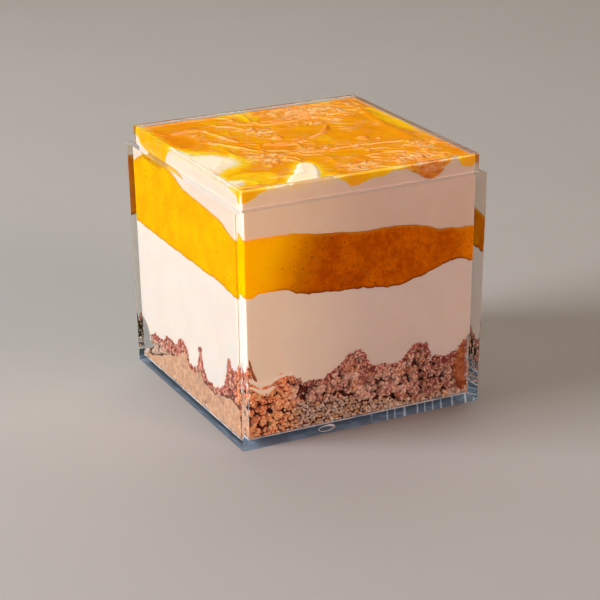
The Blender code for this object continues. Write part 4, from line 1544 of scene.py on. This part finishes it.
def bubble():
    """A round section of radius t is carried round an oval. At the angle a,
    t = 0.09 + 0.30 * ((1 + cos(a - 0.5)) / 2)^4."""
    a = np.linspace(0, 2 * np.pi, 40, endpoint=False)[None, :]
    b = np.linspace(0, 2 * np.pi, 8, endpoint=False)[:, None]
    thick = 0.09 + 0.30 * (0.5 + 0.5 * np.cos(a - 0.5)) ** 4
    x = BUBBLE[0] + (BUBBLE_HALF_WIDTH + thick * np.cos(b)) * np.cos(a)
    y = BUBBLE[1] + thick * np.sin(b)
    z = BUBBLE[2] + (BUBBLE_HALF_HEIGHT + thick * np.cos(b)) * np.sin(a)
    return ring("floor_bubble", np.stack([x, y, z], -1))


floor_details = [bubble(), corner_line()]
wear(painted_highlight_plastic(), *floor_details)

# %% [markdown]
# ## Floor, lamps and camera
#
# A wide pale floor, one soft lamp from the left, a weak warm one from the front, one overhead, and a card of
# light behind the cup that the glaze mirrors. The surroundings give little light, so that the glaze keeps its
# colour where it mirrors nothing, but look pale to the camera. The cup doesn't mirror the floor, which would
# lay a pale veil over its left wall. Far out, where the lamps no longer reach, the floor glows a little, so
# that it fades into the surroundings.

# %% Floor
FLOOR_RADIUS = 3.0
# Two hard faces touch at a few points only, so a film of air lies between them.
FLOOR_CLEAR = 0.05


def pale_floor():
    """A disc just under the cup."""
    mesh = bmesh.new()
    bmesh.ops.create_circle(mesh, cap_ends=True, segments=96, radius=FLOOR_RADIUS)
    bmesh.ops.translate(mesh, verts=mesh.verts, vec=(0, 0, -FLOOR_CLEAR * MM))
    data = bpy.data.meshes.new("floor")
    mesh.to_mesh(data)
    mesh.free()
    floor = bpy.data.objects.new("floor", data)
    bpy.context.scene.collection.objects.link(floor)
    floor.visible_glossy = False
    finish = Finish("pale_floor")
    away = finish.node("VectorMath", {"operation": "LENGTH"}, {0: finish.here}, "Value")
    wear(finish.done(finish.principled(
        base_color=finish.mix(finish.grain(60, 3), (0.37, 0.37, 0.37), (0.40, 0.40, 0.40)),
        roughness=0.8,
        specular_ior_level=0.2,
        emission_color=finish.mix(away.between(0.6, 1.5), BLACK, (0.33, 0.32, 0.305)),
        emission_strength=1.0,
    )), floor)
    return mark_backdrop(floor)


pale_floor()

# %% Lamps and surroundings


def lamp(name, towards, distance, width, height, watts, colour):
    """A flat rectangular lamp that stands in a direction from the cup's middle and faces it."""
    data = bpy.data.lights.new(name, "AREA")
    data.shape, data.size, data.size_y = "RECTANGLE", width, height
    data.energy, data.color = watts, colour
    there = Vector(towards).normalized()
    light = bpy.data.objects.new(name, data)
    light.location = there * distance + Vector((0, 0, 0.5 * CUP_HEIGHT * MM))
    light.rotation_euler = there.to_track_quat("Z", "Y").to_euler()
    light.visible_camera = False
    bpy.context.scene.collection.objects.link(light)


def surroundings(light, seen):
    """A world of one colour for its light and another for what the camera sees."""
    world = bpy.data.worlds.new("studio")
    world.use_nodes = True
    nodes, links = world.node_tree.nodes, world.node_tree.links
    path, mix = nodes.new("ShaderNodeLightPath"), nodes.new("ShaderNodeMix")
    mix.data_type = "RGBA"
    mix.inputs[6].default_value, mix.inputs[7].default_value = (*light, 1), (*seen, 1)
    links.new(path.outputs["Is Camera Ray"], mix.inputs[0])
    links.new(mix.outputs[2], nodes["Background"].inputs["Color"])
    bpy.context.scene.world = world


lamp("key", (-0.86, 0.20, 0.47), 0.9, 0.45, 0.45, 10.8, (1.0, 0.95, 0.97))
lamp("fill", (0.40, -0.84, 0.42), 1.1, 0.4, 0.3, 5.2, (1.0, 0.60, 0.56))
lamp("above", (0.1, 0.3, 1.0), 1.2, 1.0, 0.8, 3.0, (1.0, 0.95, 0.70))
lamp("card", (0.33, 0.66, 0.76), 0.8, 0.7, 0.30, 1.5, (1.0, 0.96, 0.92))
surroundings(light=(0.08, 0.066, 0.028), seen=(0.36, 0.345, 0.33))
bpy.context.scene.view_settings.view_transform = "Standard"
print("lamps:", ", ".join(light.name for light in bpy.data.lights))

# %% Camera
CAMERA_TURN = 26.447
CAMERA_DROP = 20.817
CAMERA_ROLL = -0.595
CAMERA_AWAY = 474.66
LENS = 115.366
AIM_HEIGHT = 31.5
AIM_RIGHT = -0.762
AIM_UP = -9.423


def stand_camera():
    """Turns about the cup, looks down, rolls, and aims a little beside the cup's middle."""
    turn, drop, roll = (math.radians(angle) for angle in (CAMERA_TURN, CAMERA_DROP, CAMERA_ROLL))
    right = Vector((math.cos(turn), -math.sin(turn), 0))
    ahead = Vector((math.sin(turn) * math.cos(drop), math.cos(turn) * math.cos(drop), -math.sin(drop)))
    up = right.cross(ahead)
    aim = Vector((0, 0, AIM_HEIGHT)) + AIM_RIGHT * right + AIM_UP * up
    rolled_right = math.cos(roll) * right + math.sin(roll) * up
    rolled_up = math.cos(roll) * up - math.sin(roll) * right
    data = bpy.data.cameras.new("camera")
    data.lens, data.sensor_width = LENS, 36
    camera = bpy.data.objects.new("camera", data)
    axes = Matrix((rolled_right, rolled_up, -ahead)).transposed().to_4x4()
    camera.matrix_world = Matrix.Translation((aim - CAMERA_AWAY * ahead) * MM) @ axes
    bpy.context.scene.collection.objects.link(camera)
    bpy.context.scene.camera = camera


stand_camera()
print(f"the camera stands {CAMERA_AWAY:.0f} mm from what it looks at")

# %% [markdown]
# ## What each piece belongs to
#
# Nothing here moves by itself, so every piece rides with the one body. Each food piece stands for its solid.
# The two details in the floor stand for none.

# %% Bodies and solids
for piece, node, slot in (
    (crumble_core, "crumble_base", "crumble"),
    *((piece, "crumble_base", "crumble") for piece in lump_pieces),
    (butter_smears, "crumble_base", "crumble"),
    (lower_cream_fill, "lower_cream", "cream"),
    (cream_smears, "lower_cream", "cream"),
    (mango_fill, "mango_layer", "mango"),
    (upper_cream_fill, "upper_cream", "cream"),
    (glaze_fill, "mango_glaze", "glaze"),
):
    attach(piece, "root")
    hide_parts(node)
    print(piece.name, "stands for", node)

for piece in floor_details:
    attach(piece, "root")
